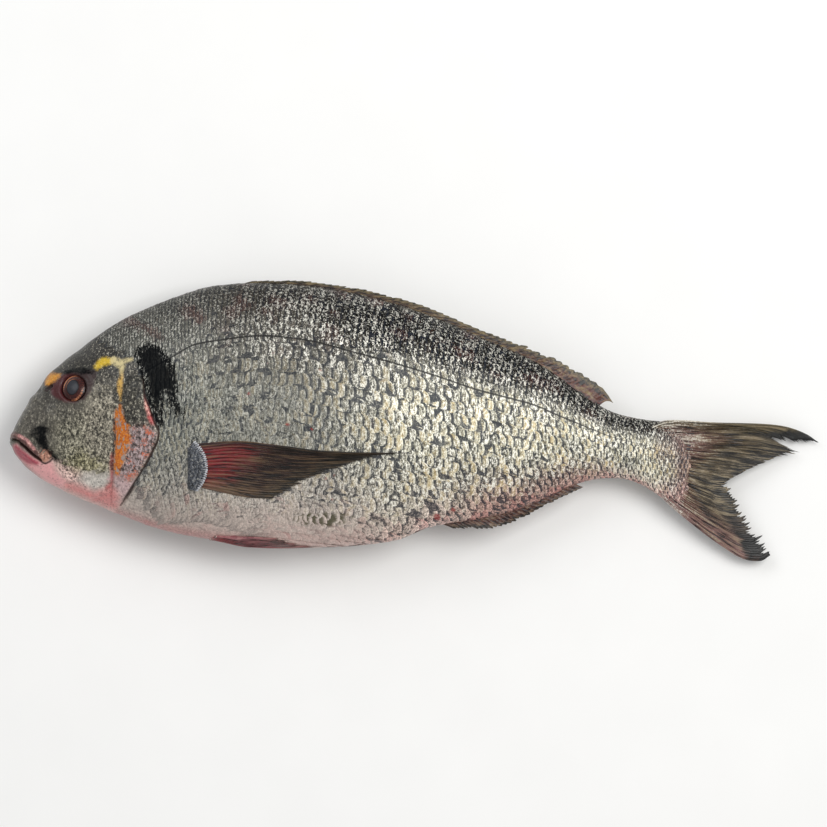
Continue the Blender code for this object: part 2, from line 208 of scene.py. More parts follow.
@dataclass(frozen=True)
class Trunk:
    """The form of head and body without the fins."""

    total_length: float = 350.0
    flank_height: float = 22.6
    tail_droop: float = 20.0
    droop_start: float = -10.0
    droop_power: float = 1.6
    back_sharpness: float = 1.2
    belly_sharpness: float = 0.96
    back: Profile = Profile((
        (-175, -7.2), (-172.8, -1.9), (-169.3, 4.5), (-162.4, 14.4), (-159.2, 19.2), (-153.8, 24.2),
        (-145.2, 30.9), (-127.9, 42.7), (-110.6, 50.6), (-93.3, 56.7), (-84, 58.4), (-67.4, 59.4),
        (-50, 58.5), (-32.8, 56.1), (-15.6, 52.2), (1.7, 46.9), (19, 40), (30.2, 34.8), (50.1, 26.2),
        (60.9, 19.5), (69.1, 13.2), (77.3, 7.6), (86, 3.2), (96.8, 0.6), (108.9, -0.9), (118, -2.6),
    ))
    belly: Profile = Profile((
        (-175, -9.8), (-173.8, -13), (-171.2, -17.1), (-167.8, -20.8), (-162.4, -24.8), (-153.8, -29.7),
        (-136.5, -37.1), (-119.2, -44.3), (-102, -49.3), (-76, -53.2), (-58.8, -54.6), (-41.5, -54.7),
        (-24.2, -53.7), (-6.9, -51.3), (1.7, -47.4), (9.1, -45.3), (29.4, -42.2), (41.9, -39.2),
        (54.4, -34.4), (63.9, -29.8), (71.3, -26.8), (81.6, -24.9), (91.1, -25.4), (98.5, -28.2),
        (108.9, -35), (118, -41.5),
    ))
    half_thickness: Profile = Profile((
        (-175, 3.2), (-173, 5.4), (-170, 7.2), (-165, 9.3), (-158, 11.7), (-147, 14.9), (-135, 18),
        (-120, 21), (-105, 23), (-85, 24.2), (-60, 24.2), (-35, 23), (-10, 20.6), (15, 17.2), (40, 13.2),
        (62, 9.8), (82, 7.2), (98, 5.4), (110, 3.4), (118, 1.6),
    ))
    gill_edge: Points = (
        (-117, 19), (-116.4, 10.3), (-114.3, 5.6), (-112.4, -0.2), (-110.3, -4.7), (-110.6, -8.2),
        (-112.3, -11.7), (-117.9, -21.7), (-122.1, -28), (-127.3, -36.4),
    )
    cover_rise: float = 1.5
    cover_length: float = 24.0
    cover_edge_width: float = 1.6
    cover_fade: float = 8.0

    def middle_height(self, x: Array | float) -> Array:
        """The height of the middle plane, which sinks towards the tail."""
        ahead = np.maximum(np.asarray(x, dtype=float) - self.droop_start, 0.0)
        share = ahead / (self.total_length / 2 - self.droop_start)
        return self.flank_height - self.tail_droop * share**self.droop_power

    def spread(self, x: Array | float) -> tuple[Array, Array]:
        """The middle and half of the depth at x."""
        top, bottom = self.back(x), self.belly(x)
        return (top + bottom) / 2, (top - bottom) / 2

    def level(self, x: Array, y: Array) -> Array:
        """Where y lies between the belly, 0, and the back, 1."""
        middle, half = self.spread(x)
        return (y - middle) / (2 * half) + 0.5

    def gill_edge_at(self, y: Array | float) -> Array:
        """The x of the gill cover's rear edge at that y."""
        return Profile(tuple((py, px) for px, py in reversed(self.gill_edge)))(y)

    def cover_window(self, y: Array) -> Array:
        """1 along the height of the gill cover and nought above and below it."""
        top, bottom = self.gill_edge[0][1], self.gill_edge[-1][1]
        return smooth((top - y) / self.cover_fade + 0.5) * smooth((y - bottom) / self.cover_fade + 0.25)

    def cover_relief(self, x: Array, y: Array) -> Array:
        """How far the gill cover stands out."""
        ahead = self.gill_edge_at(y) - x
        edge = smooth(ahead / self.cover_edge_width + 0.5) * (1 - smooth(ahead / self.cover_length))
        return self.cover_rise * edge * self.cover_window(y)

    def plain_flank(self, x: Array, y: Array) -> Array:
        """How far the flank stands out from the middle plane, without the gill cover.

        Args:
            x: Places along the fish.
            y: Places up the fish.

        Returns:
            The distances, in the shape of x.
        """
        middle, half = self.spread(x)
        share = np.minimum(np.abs(y - middle) / half, 1.0)
        power = np.where(y > middle, self.back_sharpness, self.belly_sharpness)
        return self.half_thickness(x) * (1 - share**2) ** (power / 2)

    def flank(self, x: Array, y: Array) -> Array:
        """How far the flank stands out from the middle plane."""
        return self.plain_flank(x, y) + self.cover_relief(x, y)

    def skin_height(self, x: Array, y: Array, side: int) -> Array:
        """The height of the skin over the ground on that side."""
        return np.maximum(self.middle_height(x) + side * self.flank(x, y), 0.0)

    def skin_normal(self, x: Array, y: Array, side: int, step: float = 0.6) -> Array:
        """The way that the skin faces, one row for each x, y.

        Args:
            x: Places along the fish.
            y: Places up the fish.
            side: The flank.
            step: How far apart the two places lie that a slope is taken from.

        Returns:
            The normals, with one more axis than x.
        """
        high = self.middle_height(x + step) + side * self.flank(x + step, y)
        low = self.middle_height(x - step) + side * self.flank(x - step, y)
        upper, lower = self.flank(x, y + step), self.flank(x, y - step)
        slope_x, slope_y = (high - low) / (2 * step), side * (upper - lower) / (2 * step)
        normal = np.stack([-slope_x, -slope_y, np.ones_like(slope_x)], axis=-1) * side
        return normal / np.linalg.norm(normal, axis=-1, keepdims=True)


TRUNK = Trunk()


def linear(colour: Colour | Array) -> Array:
    """Display values from 0 to 255 as the linear values that shaders take."""
    value = np.asarray(colour, dtype=float) / 255
    return np.where(value <= 0.04045, value / 12.92, ((value + 0.055) / 1.055) ** 2.4)


def mixed(under: Array, over: Array | Colour, share: Array) -> Array:
    """Two colours mixed by a share at each place."""
    share = np.clip(share, 0, 1)[..., None]
    return under * (1 - share) + np.asarray(over, dtype=float) * share


def wash(under: Array, colour: Colour, share: Array) -> Array:
    """Linear colours with a display colour laid over them by a share at each place."""
    return mixed(under, linear(colour), share)


def grid_faces(rows: int, columns: int, ring: bool = False, first: int = 0) -> Array:
    """The four-sided faces of a grid of corners.

    Args:
        rows: How many rows of corners there are.
        columns: How many corners a row has.
        ring: Whether the last column joins the first.
        first: The number of the grid's first corner.

    Returns:
        One row of four corner numbers for each face.
    """
    across = np.arange(columns if ring else columns - 1)
    near, far = across, (across + 1) % columns
    start = np.arange(rows - 1)[:, None] * columns
    quads = np.stack([start + near, start + far, start + columns + far, start + columns + near], axis=-1)
    return quads.reshape(-1, 4) + first


def grid_normals(places: Array, ring: bool = False) -> Array:
    """The way that a grid of places faces at each place, from its rows and columns.

    Args:
        places: The grid, (rows, columns, 3).
        ring: Whether the last column joins the first.

    Returns:
        The normals, in the same shape.
    """
    along = np.gradient(places, axis=0)
    if ring:
        across = (np.roll(places, -1, axis=1) - np.roll(places, 1, axis=1)) / 2
    else:
        across = np.gradient(places, axis=1)
    normal = np.cross(across, along)
    return normal / np.maximum(np.linalg.norm(normal, axis=-1, keepdims=True), TINY)


def enclosed(places: Array, faces: Array) -> float:
    """The volume inside closed four-sided faces, less than nought where they face inwards.

    Args:
        places: The corners, one row each.
        faces: Their numbers, four in a row.

    Returns:
        The volume.
    """
    a, b, c, d = (places[faces[:, k]] for k in range(4))
    first = np.einsum("ij,ij->i", a, np.cross(b, c))
    second = np.einsum("ij,ij->i", a, np.cross(c, d))
    return float((first + second).sum() / 6)


def shell(upper: Array, lower: Array) -> tuple[Array, Array]:
    """Closes two grids of places round their rim.

    Args:
        upper: The outer places, (rows, columns, 3).
        lower: The inner ones, in the same shape.

    Returns:
        The corners and the four-sided faces, which look outwards.
    """
    rows, columns = upper.shape[:2]
    shift = rows * columns
    corners = np.concatenate([upper.reshape(-1, 3), lower.reshape(-1, 3)])
    number = np.arange(shift).reshape(rows, columns)
    rim = np.concatenate([number[0, :-1], number[:-1, -1], number[-1, :0:-1], number[:0:-1, 0]])
    after = np.roll(rim, -1)
    wall = np.stack([rim, rim + shift, after + shift, after], axis=1)
    bottom = grid_faces(rows, columns, first=shift)[:, ::-1]
    faces = np.concatenate([grid_faces(rows, columns), bottom, wall])
    return corners, faces[:, ::-1] if enclosed(corners, faces) < 0 else faces


def capped(grid: Array, poles: Array) -> tuple[Array, list]:
    """Closes a tube of rings with a fan of faces to a pole at each end.

    Args:
        grid: The rings, (rings, columns, 3).
        poles: The first ring's pole and the last one's.

    Returns:
        The corners, with the poles last, and the faces, which look outwards.
    """
    count, around = grid.shape[:2]
    corners = np.concatenate([grid.reshape(-1, 3), poles])
    sides = grid_faces(count, around, ring=True)
    faces = sides.tolist()
    first, last, end = len(corners) - 2, len(corners) - 1, (count - 1) * around
    for k in range(around):
        after = (k + 1) % around
        faces += [[after, k, first], [end + k, end + after, last]]
    return corners, [face[::-1] for face in faces] if enclosed(corners, sides) < 0 else faces


@dataclass
class Paint:
    """What is painted on the corners of a mesh, by name: a number or a colour for each corner."""

    layers: dict[str, Array] = field(default_factory=dict)

    def put(self, mesh: bpy.types.Mesh) -> None:
        """Stores every layer on the mesh.

        Args:
            mesh: The mesh that gets them.
        """
        for name, values in self.layers.items():
            flat = np.asarray(values, dtype=np.float32).reshape(len(mesh.vertices), -1)
            if flat.shape[1] == 3:
                layer = mesh.attributes.new(name, "FLOAT_COLOR", "POINT")
                layer.data.foreach_set("color", np.column_stack([flat, np.ones(len(flat))]).ravel())
            else:
                layer = mesh.attributes.new(name, "FLOAT", "POINT")
                layer.data.foreach_set("value", flat.ravel())


def linked(name: str, data: bpy.types.ID) -> bpy.types.Object:
    """A new object of the scene that holds this mesh, lamp or camera."""
    made = bpy.data.objects.new(name, data)
    bpy.context.scene.collection.objects.link(made)
    return made


def new_piece(
    name: str, places: Array, faces: Array | list, material: bpy.types.Material, paint: Paint | None = None
) -> bpy.types.Object:
    """A smooth mesh object.

    Args:
        name: The object's name.
        places: The corners in millimetres, one row each.
        faces: Their numbers, one row or list for each face.
        material: The finish.
        paint: What is painted on the corners.

    Returns:
        The object, linked to the scene.
    """
    mesh = bpy.data.meshes.new(name)
    mesh.from_pydata((places * MM).tolist(), [], faces if isinstance(faces, list) else faces.tolist())
    mesh.validate()
    if paint:
        paint.put(mesh)
    mesh.shade_smooth()
    mesh.materials.append(material)
    return linked(name, mesh)


def mount(piece: bpy.types.Object, slot: str, *nodes: str) -> None:
    """Sets a finished piece on the fish, in place of the solids that it stands for.

    Args:
        piece: The piece.
        slot: The finish that it belongs to; not used.
        nodes: The nodes that it replaces.
    """
    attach(piece, BODY)
    if nodes:
        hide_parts(*nodes)
    piece.data.calc_loop_triangles()
    log.info("%s: %d triangles", piece.name, len(piece.data.loop_triangles))


class Value:
    """A socket of a shader tree, so that sums on it are written as Python expressions."""

    def __init__(self, tree: "NodeTree", socket: bpy.types.NodeSocket) -> None:
        """Keeps the tree that new Math nodes go in."""
        self.tree = tree
        self.socket = socket

    def maths(self, operation: str, *terms: "Value | float") -> "Value":
        """A Math node on these terms."""
        return self.tree.node("ShaderNodeMath", {"operation": operation}, dict(enumerate(terms))).out(0)

    def __add__(self, other: "Value | float") -> "Value":
        """The sum."""
        return self.maths("ADD", self, other)

    def __sub__(self, other: "Value | float") -> "Value":
        """The difference."""
        return self.maths("SUBTRACT", self, other)

    def __mul__(self, other: "Value | float") -> "Value":
        """The product."""
        return self.maths("MULTIPLY", self, other)

    def __radd__(self, other: float) -> "Value":
        """The sum with a number in front."""
        return self.maths("ADD", other, self)

    def __rsub__(self, other: float) -> "Value":
        """A number less this."""
        return self.maths("SUBTRACT", other, self)

    def __rmul__(self, other: float) -> "Value":
        """The product with a number in front."""
        return self.maths("MULTIPLY", other, self)

    def most(self, other: "Value | float") -> "Value":
        """The higher of the two."""
        return self.maths("MAXIMUM", self, other)

    def size(self) -> "Value":
        """The value without its sign."""
        return self.maths("ABSOLUTE", self)

    def step(self, low: float, high: float) -> "Value":
        """0 below low, 1 above high and smooth between; high may be the lower one.

        Args:
            low: Where the step starts.
            high: Where it ends.

        Returns:
            The step.
        """
        settings = {"interpolation_type": "SMOOTHSTEP", "clamp": True}
        if low < high:
            ends = {"From Min": low, "From Max": high, "To Min": 0.0, "To Max": 1.0}
        else:
            ends = {"From Min": high, "From Max": low, "To Min": 1.0, "To Max": 0.0}
        return self.tree.node("ShaderNodeMapRange", settings, {"Value": self, **ends}).out("Result")


def picked(sockets: "bpy.types.bpy_prop_collection", key: int | str) -> bpy.types.NodeSocket:
    """The socket of that number, or the one in use of that name."""
    return sockets[key] if isinstance(key, int) else next(s for s in sockets if s.name == key and s.enabled)


class Made:
    """A node that was just made."""

    def __init__(self, tree: "NodeTree", node: bpy.types.Node) -> None:
        """Keeps the node and its tree."""
        self.tree = tree
        self.node = node

    def out(self, key: int | str) -> Value:
        """One of its results, by number or by name."""
        return Value(self.tree, picked(self.node.outputs, key))


class NodeTree:
    """Nodes that are made and linked by one method."""

    tree: bpy.types.NodeTree

    def node(self, kind: str, settings: dict, inputs: dict) -> Made:
        """A node of that kind.

        Args:
            kind: The node's type.
            settings: Its own settings.
            inputs: What goes into its sockets, by number or name: values or other nodes' results.

        Returns:
            The node.
        """
        node = self.tree.nodes.new(kind)
        for key, value in settings.items():
            setattr(node, key, value)
        for key, value in inputs.items():
            socket = picked(node.inputs, key)
            if isinstance(value, Value):
                self.tree.links.new(value.socket, socket)
            else:
                socket.default_value = value
        return Made(self, node)

    def noise_over(self, place: Value, scale: float, detail: float, rough: float) -> Value:
        """Noise from 0 to 1 over these coordinates."""
        inputs = {"Vector": place, "Scale": scale, "Detail": detail, "Roughness": rough}
        return self.node("ShaderNodeTexNoise", {}, inputs).out(0)

    def joined(self, x: Value | float, y: Value | float, z: Value | float) -> Value:
        """The vector of three numbers."""
        return self.node("ShaderNodeCombineXYZ", {}, {0: x, 1: y, 2: z}).out(0)


class GeometryTree(NodeTree):
    """A Geometry Nodes tree with named inputs."""

    def __init__(self, name: str, inputs: dict[str, str]) -> None:
        """Makes the tree with one geometry input and the named ones, each with its socket's type.

        Args:
            name: The tree's name.
            inputs: The type of each socket by its name.
        """
        self.tree = bpy.data.node_groups.new(name, "GeometryNodeTree")
        face = self.tree.interface
        face.new_socket("Geometry", in_out="INPUT", socket_type="NodeSocketGeometry")
        for label, kind in inputs.items():
            face.new_socket(label, in_out="INPUT", socket_type=kind)
        face.new_socket("Geometry", in_out="OUTPUT", socket_type="NodeSocketGeometry")
        self.given = self.node("NodeGroupInput", {}, {})

    def named(self, name: str, kind: str = "FLOAT") -> Value:
        """A field stored on the geometry under that name."""
        settings = {"data_type": kind}
        return self.node("GeometryNodeInputNamedAttribute", settings, {"Name": name}).out("Attribute")

    def drawn(self, low: Value | float, high: Value | float, seed: Value, kind: str = "FLOAT") -> Value:
        """A random field between two ends."""
        inputs = {"Min": low, "Max": high, "Seed": seed}
        return self.node("FunctionNodeRandomValue", {"data_type": kind}, inputs).out("Value")

    def close(self, geometry: Value) -> None:
        """Realizes the instances, sets the material and ends the tree.

        Args:
            geometry: What comes out of it.
        """
        real = self.node("GeometryNodeRealizeInstances", {}, {"Geometry": geometry}).out(0)
        dressed = {"Geometry": real, "Material": self.given.out("Material")}
        final = self.node("GeometryNodeSetMaterial", {}, dressed).out(0)
        self.node("NodeGroupOutput", {}, {"Geometry": final})

    def grow(self, seat: bpy.types.Object, values: dict) -> bpy.types.Mesh:
        """Runs the tree on an object and returns the result as a plain mesh.

        Args:
            seat: The object whose mesh goes in.
            values: The named inputs.

        Returns:
            The mesh that comes out.
        """
        modifier = seat.modifiers.new("grow", "NODES")
        modifier.node_group = self.tree
        for item in self.tree.interface.items_tree:
            if item.in_out == "INPUT" and item.name in values:
                modifier[item.identifier] = values[item.name]
        view = bpy.context.evaluated_depsgraph_get()
        done = seat.evaluated_get(view)
        grown = bpy.data.meshes.new_from_object(done, preserve_all_data_layers=True, depsgraph=view)
        seat.modifiers.remove(modifier)
        return grown


class Tree(NodeTree):
    """A shader tree with one Principled surface."""

    def __init__(self, name: str) -> None:
        """Makes the material and empties its tree."""
        self.material = bpy.data.materials.new(name)
        self.material.use_nodes = True
        self.tree = self.material.node_tree
        self.tree.nodes.clear()
        self.place = self.node("ShaderNodeTexCoord", {}, {}).out("Object")

    def layer(self, name: str) -> Value:
        """A number painted on the mesh."""
        return self.node("ShaderNodeAttribute", {"attribute_name": name}, {}).out("Fac")

    def colour_layer(self, name: str) -> Value:
        """A colour painted on the mesh."""
        return self.node("ShaderNodeAttribute", {"attribute_name": name}, {}).out("Color")

    def placed(self, scale: tuple[float, float, float], turn: float = 0.0) -> Value:
        """Object coordinates stretched by scale, which is patterns a metre, and turned about Z."""
        inputs = {"Vector": self.place, "Rotation": (0, 0, turn), "Scale": scale}
        return self.node("ShaderNodeMapping", {}, inputs).out("Vector")

    def noise(
        self, size: float, detail: float = 3.0, stretch: tuple = (1, 1, 1), turn: float = 0.0,
        rough: float = 0.5,
    ) -> Value:
        """Noise from 0 to 1 over the piece.

        Args:
            size: About how wide a bump is, in millimetres.
            detail: How many finer layers it has.
            stretch: How much closer the bumps stand along each axis.
            turn: How far the pattern is turned about Z.
            rough: How strong the finer layers are.

        Returns:
            The noise.
        """
        scale = tuple(part / (size * MM) for part in stretch)
        return self.noise_over(self.placed(scale, turn), 1.0, detail, rough)

    def axis(self, number: int) -> Value:
        """The object's own X, Y or Z, in metres."""
        return self.node("ShaderNodeSeparateXYZ", {}, {0: self.place}).out(number)

    def shaded(self, colour: Value, level: Value) -> Value:
        """The colour times a level."""
        grey = self.node("ShaderNodeCombineColor", {}, {0: level, 1: level, 2: level}).out(0)
        return self.blend(colour, grey, 1.0, "MULTIPLY")

    def specks(self, size: float, spread: float) -> Value:
        """Round spots size millimetres apart: 1 in their middles and 0 past spread of the way out."""
        scale = (1 / (size * MM),) * 3
        inputs = {"Vector": self.placed(scale), "Scale": 1.0}
        return self.node("ShaderNodeTexVoronoi", {}, inputs).out("Distance").step(spread, spread * 0.4)

    def blend(
        self, under: Value | Colour, over: Value | Colour, share: Value | float, how: str = "MIX"
    ) -> Value:
        """Two colours blended by share.

        Args:
            under: The colour where share is 0.
            over: The colour where it is 1.
            share: How much of the second shows.
            how: The kind of blending.

        Returns:
            The blended colour.
        """
        settings = {"data_type": "RGBA", "blend_type": how, "clamp_factor": True}
        colours = [c if isinstance(c, Value) else (*linear(c), 1) for c in (under, over)]
        inputs = {"Factor": share, "A": colours[0], "B": colours[1]}
        return self.node("ShaderNodeMix", settings, inputs).out("Result")

    def bumps(self, *layers: tuple[Value, float]) -> Value:
        """A normal bent by heights, each with its size in millimetres.

        Args:
            layers: Pairs of a height and its size.

        Returns:
            The normal.
        """
        normal = None
        for height, size in layers:
            inputs = {"Height": height, "Distance": size * MM, "Strength": 1.0}
            if normal:
                inputs["Normal"] = normal
            normal = self.node("ShaderNodeBump", {}, inputs).out("Normal")
        return normal

    def surface(self, **inputs: "Value | float | tuple") -> bpy.types.Material:
        """Ends the tree in a Principled surface, whose sockets are named with _ for each space.

        Args:
            inputs: What goes into each socket.

        Returns:
            The finished material.
        """
        named = {key.replace("_", " "): value for key, value in inputs.items()}
        shader = self.node("ShaderNodeBsdfPrincipled", {}, named).out(0)
        self.node("ShaderNodeOutputMaterial", {}, {"Surface": shader})
        return self.material


class Mark(Enum):
    """The painted marks, each stored as how deep a place lies inside it, in millimetres."""

    ORANGE = "orange"
    BLACK = "black"
    YELLOW = "yellow"
    RED = "red"
    # Painted shade in slits and grooves, partly the dark gill tissue in the gill slit.
    DARK = "dark"
    PALE = "pale"
    CREAM = "cream"
    CRIMSON = "crimson"


@dataclass(frozen=True)
class Markings:
    """Where the colours of the skin lie in the side view."""

    eye: tuple[float, float] = (-147.3, 14.0)
    orange: Points = (
        (-129.1, 3.7), (-126.8, 6.5), (-125.5, 3.7), (-124.8, -0.2), (-122.7, -2.2), (-123.5, -4.2),
        (-122.1, -6.8), (-122.7, -9.5), (-124, -12.8), (-124.7, -16.1), (-126, -19.4), (-127.5, -22.8),
        (-129.1, -22.7), (-129.6, -20.1), (-129.3, -16.1), (-129.1, -9.5), (-129.5, -2.9),
    )
    blotch: Points = (
        (-117.6, 32.6), (-114.2, 33.9), (-110.9, 33.5), (-107, 28.4), (-103.7, 22.4), (-101.4, 14.6),
        (-101.6, 9.8), (-104.6, 8.6), (-107.2, 11.4), (-108.3, 6.6), (-108.6, 1.4), (-108.4, -2.6),
        (-110.8, -2.2), (-113.2, 3), (-114.9, 9), (-116.1, 12.3), (-116.9, 15.6), (-117.4, 20), (-120.2, 24),
        (-120.6, 29.2),
    )
    mottle: Points = (
        (-108.6, 15), (-103.3, 17), (-101, 13.6), (-99.3, 8.4), (-98.6, 4.4), (-100, 0.4), (-103.6, 1.4),
        (-107.3, 4.7), (-108.3, 9),
    )
    opercle: Points = (
        (-126.8, 18.8), (-122.2, 19.6), (-117.6, 19), (-116.6, 15), (-116.1, 10.4), (-115.2, 4.4),
        (-113.6, -0.2), (-118.2, -2.9), (-122.2, -2.2), (-124.5, -0.2), (-125.4, 3.7), (-126.5, 7.7),
        (-126, 13.7),
    )
    pink_strip: Points = (
        (-116.4, 10.7), (-114.6, 10.4), (-114.3, 6.4), (-112.6, 3.1), (-112, -2.2), (-113.6, -1.5),
        (-115.2, 2.4), (-116.1, 5.7),
    )
    lavender: Points = (
        (-122.2, -2.9), (-113.6, -2.2), (-110.5, -5.5), (-111.6, -9.5), (-114.9, -16.1), (-118.9, -22.7),
        (-123.5, -25.4), (-127.5, -23), (-126, -19.4), (-123.5, -12.8),
    )
    jaw: Points = (
        (-173.4, -11.2), (-172.3, -10.9), (-169.8, -13.3), (-165.2, -16.6), (-160.5, -18.4), (-157.2, -18.1),
        (-155.1, -22.7), (-151.3, -26.3), (-152.9, -29.3), (-158.6, -27), (-164.5, -23), (-169.1, -18.7),
        (-172.4, -14.8),
    )
    lower_lip: Points = (
        (-173.6, -11.5), (-172.3, -10.9), (-169.8, -13.3), (-165.5, -16.4), (-162.4, -18.1), (-163.5, -19.1),
        (-167.5, -18.4), (-170.5, -16.4), (-172.8, -13.8),
    )
    throat: Points = (
        (-151.3, -26.7), (-144, -28.7), (-138.7, -31), (-133.4, -29.6), (-131.1, -26.7), (-129.5, -29.3),
        (-128.1, -33.3), (-128.8, -38.2), (-133.4, -37.6), (-140, -34.6), (-146.7, -31.3), (-151.9, -29),
    )
    white_cheek: Points = (
        (-142.7, -23), (-137.4, -22.7), (-131.8, -24), (-131.1, -26.7), (-133.4, -29), (-138.7, -29.6),
        (-142.4, -27.3), (-144, -25.4),
    )
    yellow_cheek: Points = (
        (-148, -16.1), (-142.7, -13.4), (-136.1, -16.1), (-133.4, -20.1), (-137.4, -21.7), (-142.7, -22),
        (-146.7, -25), (-148.6, -22.7),
    )
    lip_black: Points = (
        (-166.2, -5.8), (-165.7, -3.7), (-163.2, -2.2), (-157.9, -2.7), (-157.4, -4.5), (-159.2, -6),
        (-159.2, -7.5), (-157.8, -9.5), (-157.9, -11.8), (-155.4, -14.8), (-153, -17.3), (-153.5, -18.1),
        (-156.6, -16), (-159.2, -12.8), (-161.9, -11.5), (-163.8, -8.8), (-166.2, -7),
    )
    maxilla: Points = (
        (-161.1, -12), (-158.6, -12.3), (-156.4, -14), (-156.8, -15.6), (-158.4, -17.4), (-160.4, -18.1),
        (-162, -16.4),
    )
    pale_gill: Points = (
        (-129.5, -23.4), (-123.5, -23), (-119.9, -25.4), (-121.4, -29.3), (-124.8, -33.3), (-127.5, -36.3),
        (-130.5, -35.6), (-130.5, -29.3),
    )
    brow_patch: Points = (
        (-139.2, 22.1), (-137.4, 25.4), (-135.7, 27.3), (-133.3, 27.7), (-130.5, 26.9), (-129.7, 25.2),
        (-131.8, 23.6), (-134.1, 22.9), (-136.1, 22), (-138.1, 21.6),
    )
    forehead_patch: Points = (
        (-157.9, 20.9), (-154.9, 20.7), (-152.6, 20.3), (-153.1, 18.6), (-154.9, 17.3), (-156.6, 16.2),
        (-157.9, 15), (-160.1, 15.1), (-160.5, 17.3), (-159.5, 19.3),
    )
    cream_patch: Points = (
        (-130.5, 26.1), (-126.8, 26.6), (-121.5, 27), (-121.7, 25.7), (-125.5, 24.2), (-126.3, 21.6),
        (-127.5, 21.6), (-128.8, 23.2), (-130.1, 23.6),
    )
    eye_skin: Points = (
        (-157.2, 14.3), (-155.2, 17.5), (-152.3, 19.5), (-148.6, 20.1), (-144, 20.3), (-137.4, 21.7),
        (-138.6, 17), (-140, 12.3), (-142.4, 9.4), (-146.7, 7.8), (-151.3, 8.5), (-155.2, 10.2),
        (-156.9, 12),
    )
    eye_dark: Points = (
        (-154.6, 20.1), (-150.6, 22.4), (-145.3, 23.6), (-137.4, 22.8), (-137.4, 20.3), (-140, 18.8),
        (-144, 19.6), (-148, 20.1), (-151.9, 19.5),
    )
    cream_line: Path = Path((
        (-129.8, 25.7), (-127.1, 24.6), (-126.4, 20.3), (-126.7, 17), (-127.1, 13.7), (-126.8, 8.7),
    ))
    mouth: Path = Path((
        (-174.8, -8.2), (-172.4, -8.8), (-169.8, -10.5), (-167.5, -12.5), (-165, -14.9), (-161.7, -17.2),
    ))
    under_lobe: Path = Path((
        (-162.4, -16.9), (-159.9, -18.5), (-157.8, -17.7), (-156.4, -16.4),
    ))
    cheek_groove: Path = Path((
        (-127.8, 5.4), (-129.1, 3.7), (-129.5, -2.9), (-129.3, -9.5), (-130, -13.4), (-130.5, -19.4),
        (-130.6, -23.4), (-130.8, -26.7), (-133.4, -29.3),
    ))
    nostril: Path = Path((
        (-159.1, 13.1), (-157.2, 14.9),
    ))
    lateral_line: Profile = Profile((
        (-117, 20.5), (-104.5, 27.4), (-95.9, 32.2), (-83.4, 34.6), (-67.8, 36.3), (-54.9, 35.6),
        (-42.1, 33.5), (-29.4, 30.0), (-16.4, 26.6), (-3.6, 22.9), (9.1, 19), (26.4, 13.2), (50.1, 6.9),
        (60.9, 2.4), (73.4, -2.8), (86, -7.6), (96.3, -10.2), (108.9, -14.9), (113.2, -15.8),
    ))
    levels: tuple[float, ...] = (0.0, 0.08, 0.2, 0.4, 0.6, 0.72, 0.85, 1.0)
    level_colours: tuple[Colour, ...] = (
        (202, 172, 164), (198, 182, 173), (170, 163, 155), (122, 122, 115), (114, 114, 107), (100, 98, 90),
        (86, 82, 74), (42, 38, 34),
    )

    def by_level(self, level: Array) -> Array:
        """The body's colour between belly and back, in linear values."""
        stops = linear(np.array(self.level_colours))
        return np.stack([np.interp(level, self.levels, stops[:, k]) for k in range(3)], axis=-1)

    def body_tint(self, x: Array, y: Array) -> Array:
        """The colour of the body's skin and scales, with painted light over the rear mid-flank.

        Args:
            x: Places along the fish.
            y: Places up the fish.

        Returns:
            Linear colours, with one more axis than x.
        """
        level = np.clip(TRUNK.level(x, y), 0, 1)
        tint = self.by_level(level)
        mid = bell(level - 0.42, 0.36) * rise(level, 0.86, 0.68)
        uneven = waves(x, y, 14, 3)
        tint = wash(tint, (118, 121, 114), 0.6 * rise(x, -62, -112) * bell(level - 0.5, 0.5))
        # bright: the middle of the flank towards the rear painted lighter; partly its silver colour and
        # partly painted light where the lamp's reflection falls.
        bright = rise(x, -46, 10) * mid * (0.75 + 0.14 * uneven)
        tint = wash(tint, (200, 197, 176), bright)
        narrow = rise(x, 84, 104) * rise(level, 0.2, 0.42) * rise(level, 0.84, 0.56)
        tint = wash(tint, (164, 160, 143), narrow)
        dusk = rise(x + 5 * waves(x, y, 9, 33), -56, -14) * rise(level, 0.71, 0.87) * rise(x, 122, 96)
        tint = tint * (1 - 0.82 * dusk)[..., None]
        low_rear = rise(x, 6, 36) * rise(x, 92, 74) * rise(level, 0.34, 0.05)
        tint = wash(tint, (158, 120, 110), 0.75 * low_rear)
        blush = rise(waves(x, y, 3.4, 8), 0.5, 1.4) * rise(waves(x, y, 12, 9), -0.4, 0.8)
        blush = rise(level, 0.26, 0.06) * blush
        tint = wash(tint, (182, 104, 104), 0.5 * blush * rise(x, 60, 20))
        keel = rise(level, 0.055, 0.0) * rise(x, -70, -92)
        broken = rise(level, 0.11, 0.0) * rise(x, -30, 0) * rise(waves(x, y, 5, 19), -0.6, 0.6)
        keel = np.maximum(keel, broken)
        tint = wash(tint, (168, 80, 80), (0.6 - 0.25 * rise(x, -40, 0)) * keel)
        purple = rise(level, 0.7, 0.9) * rise(waves(x, y, 7, 21), 0.2, 1.2)
        tint = wash(tint, (96, 62, 58), 0.5 * purple)
        root = rise(x + 2.5 * waves(x, y, 6, 44), 102, 115)
        rosy = np.broadcast_to(linear((112, 84, 78)), tint.shape)
        rosy = wash(rosy, (172, 132, 128), rise(level, 0.45, 0.15))
        return mixed(tint, rosy, 0.92 * root)

    @staticmethod
    def washed(tint: Array, x: Array, y: Array, spots: tuple) -> Array:
        """Lays colours over tint inside outlines.

        Args:
            tint: The linear colours so far.
            x: Places along the fish.
            y: Places up the fish.
            spots: Outlines, each with its colour, the depths where it starts and is full, and its share.

        Returns:
            The new colours.
        """
        for outline, colour, low, high, share in spots:
            tint = wash(tint, colour, share * rise(depth_in(x, y, outline), low, high))
        return tint

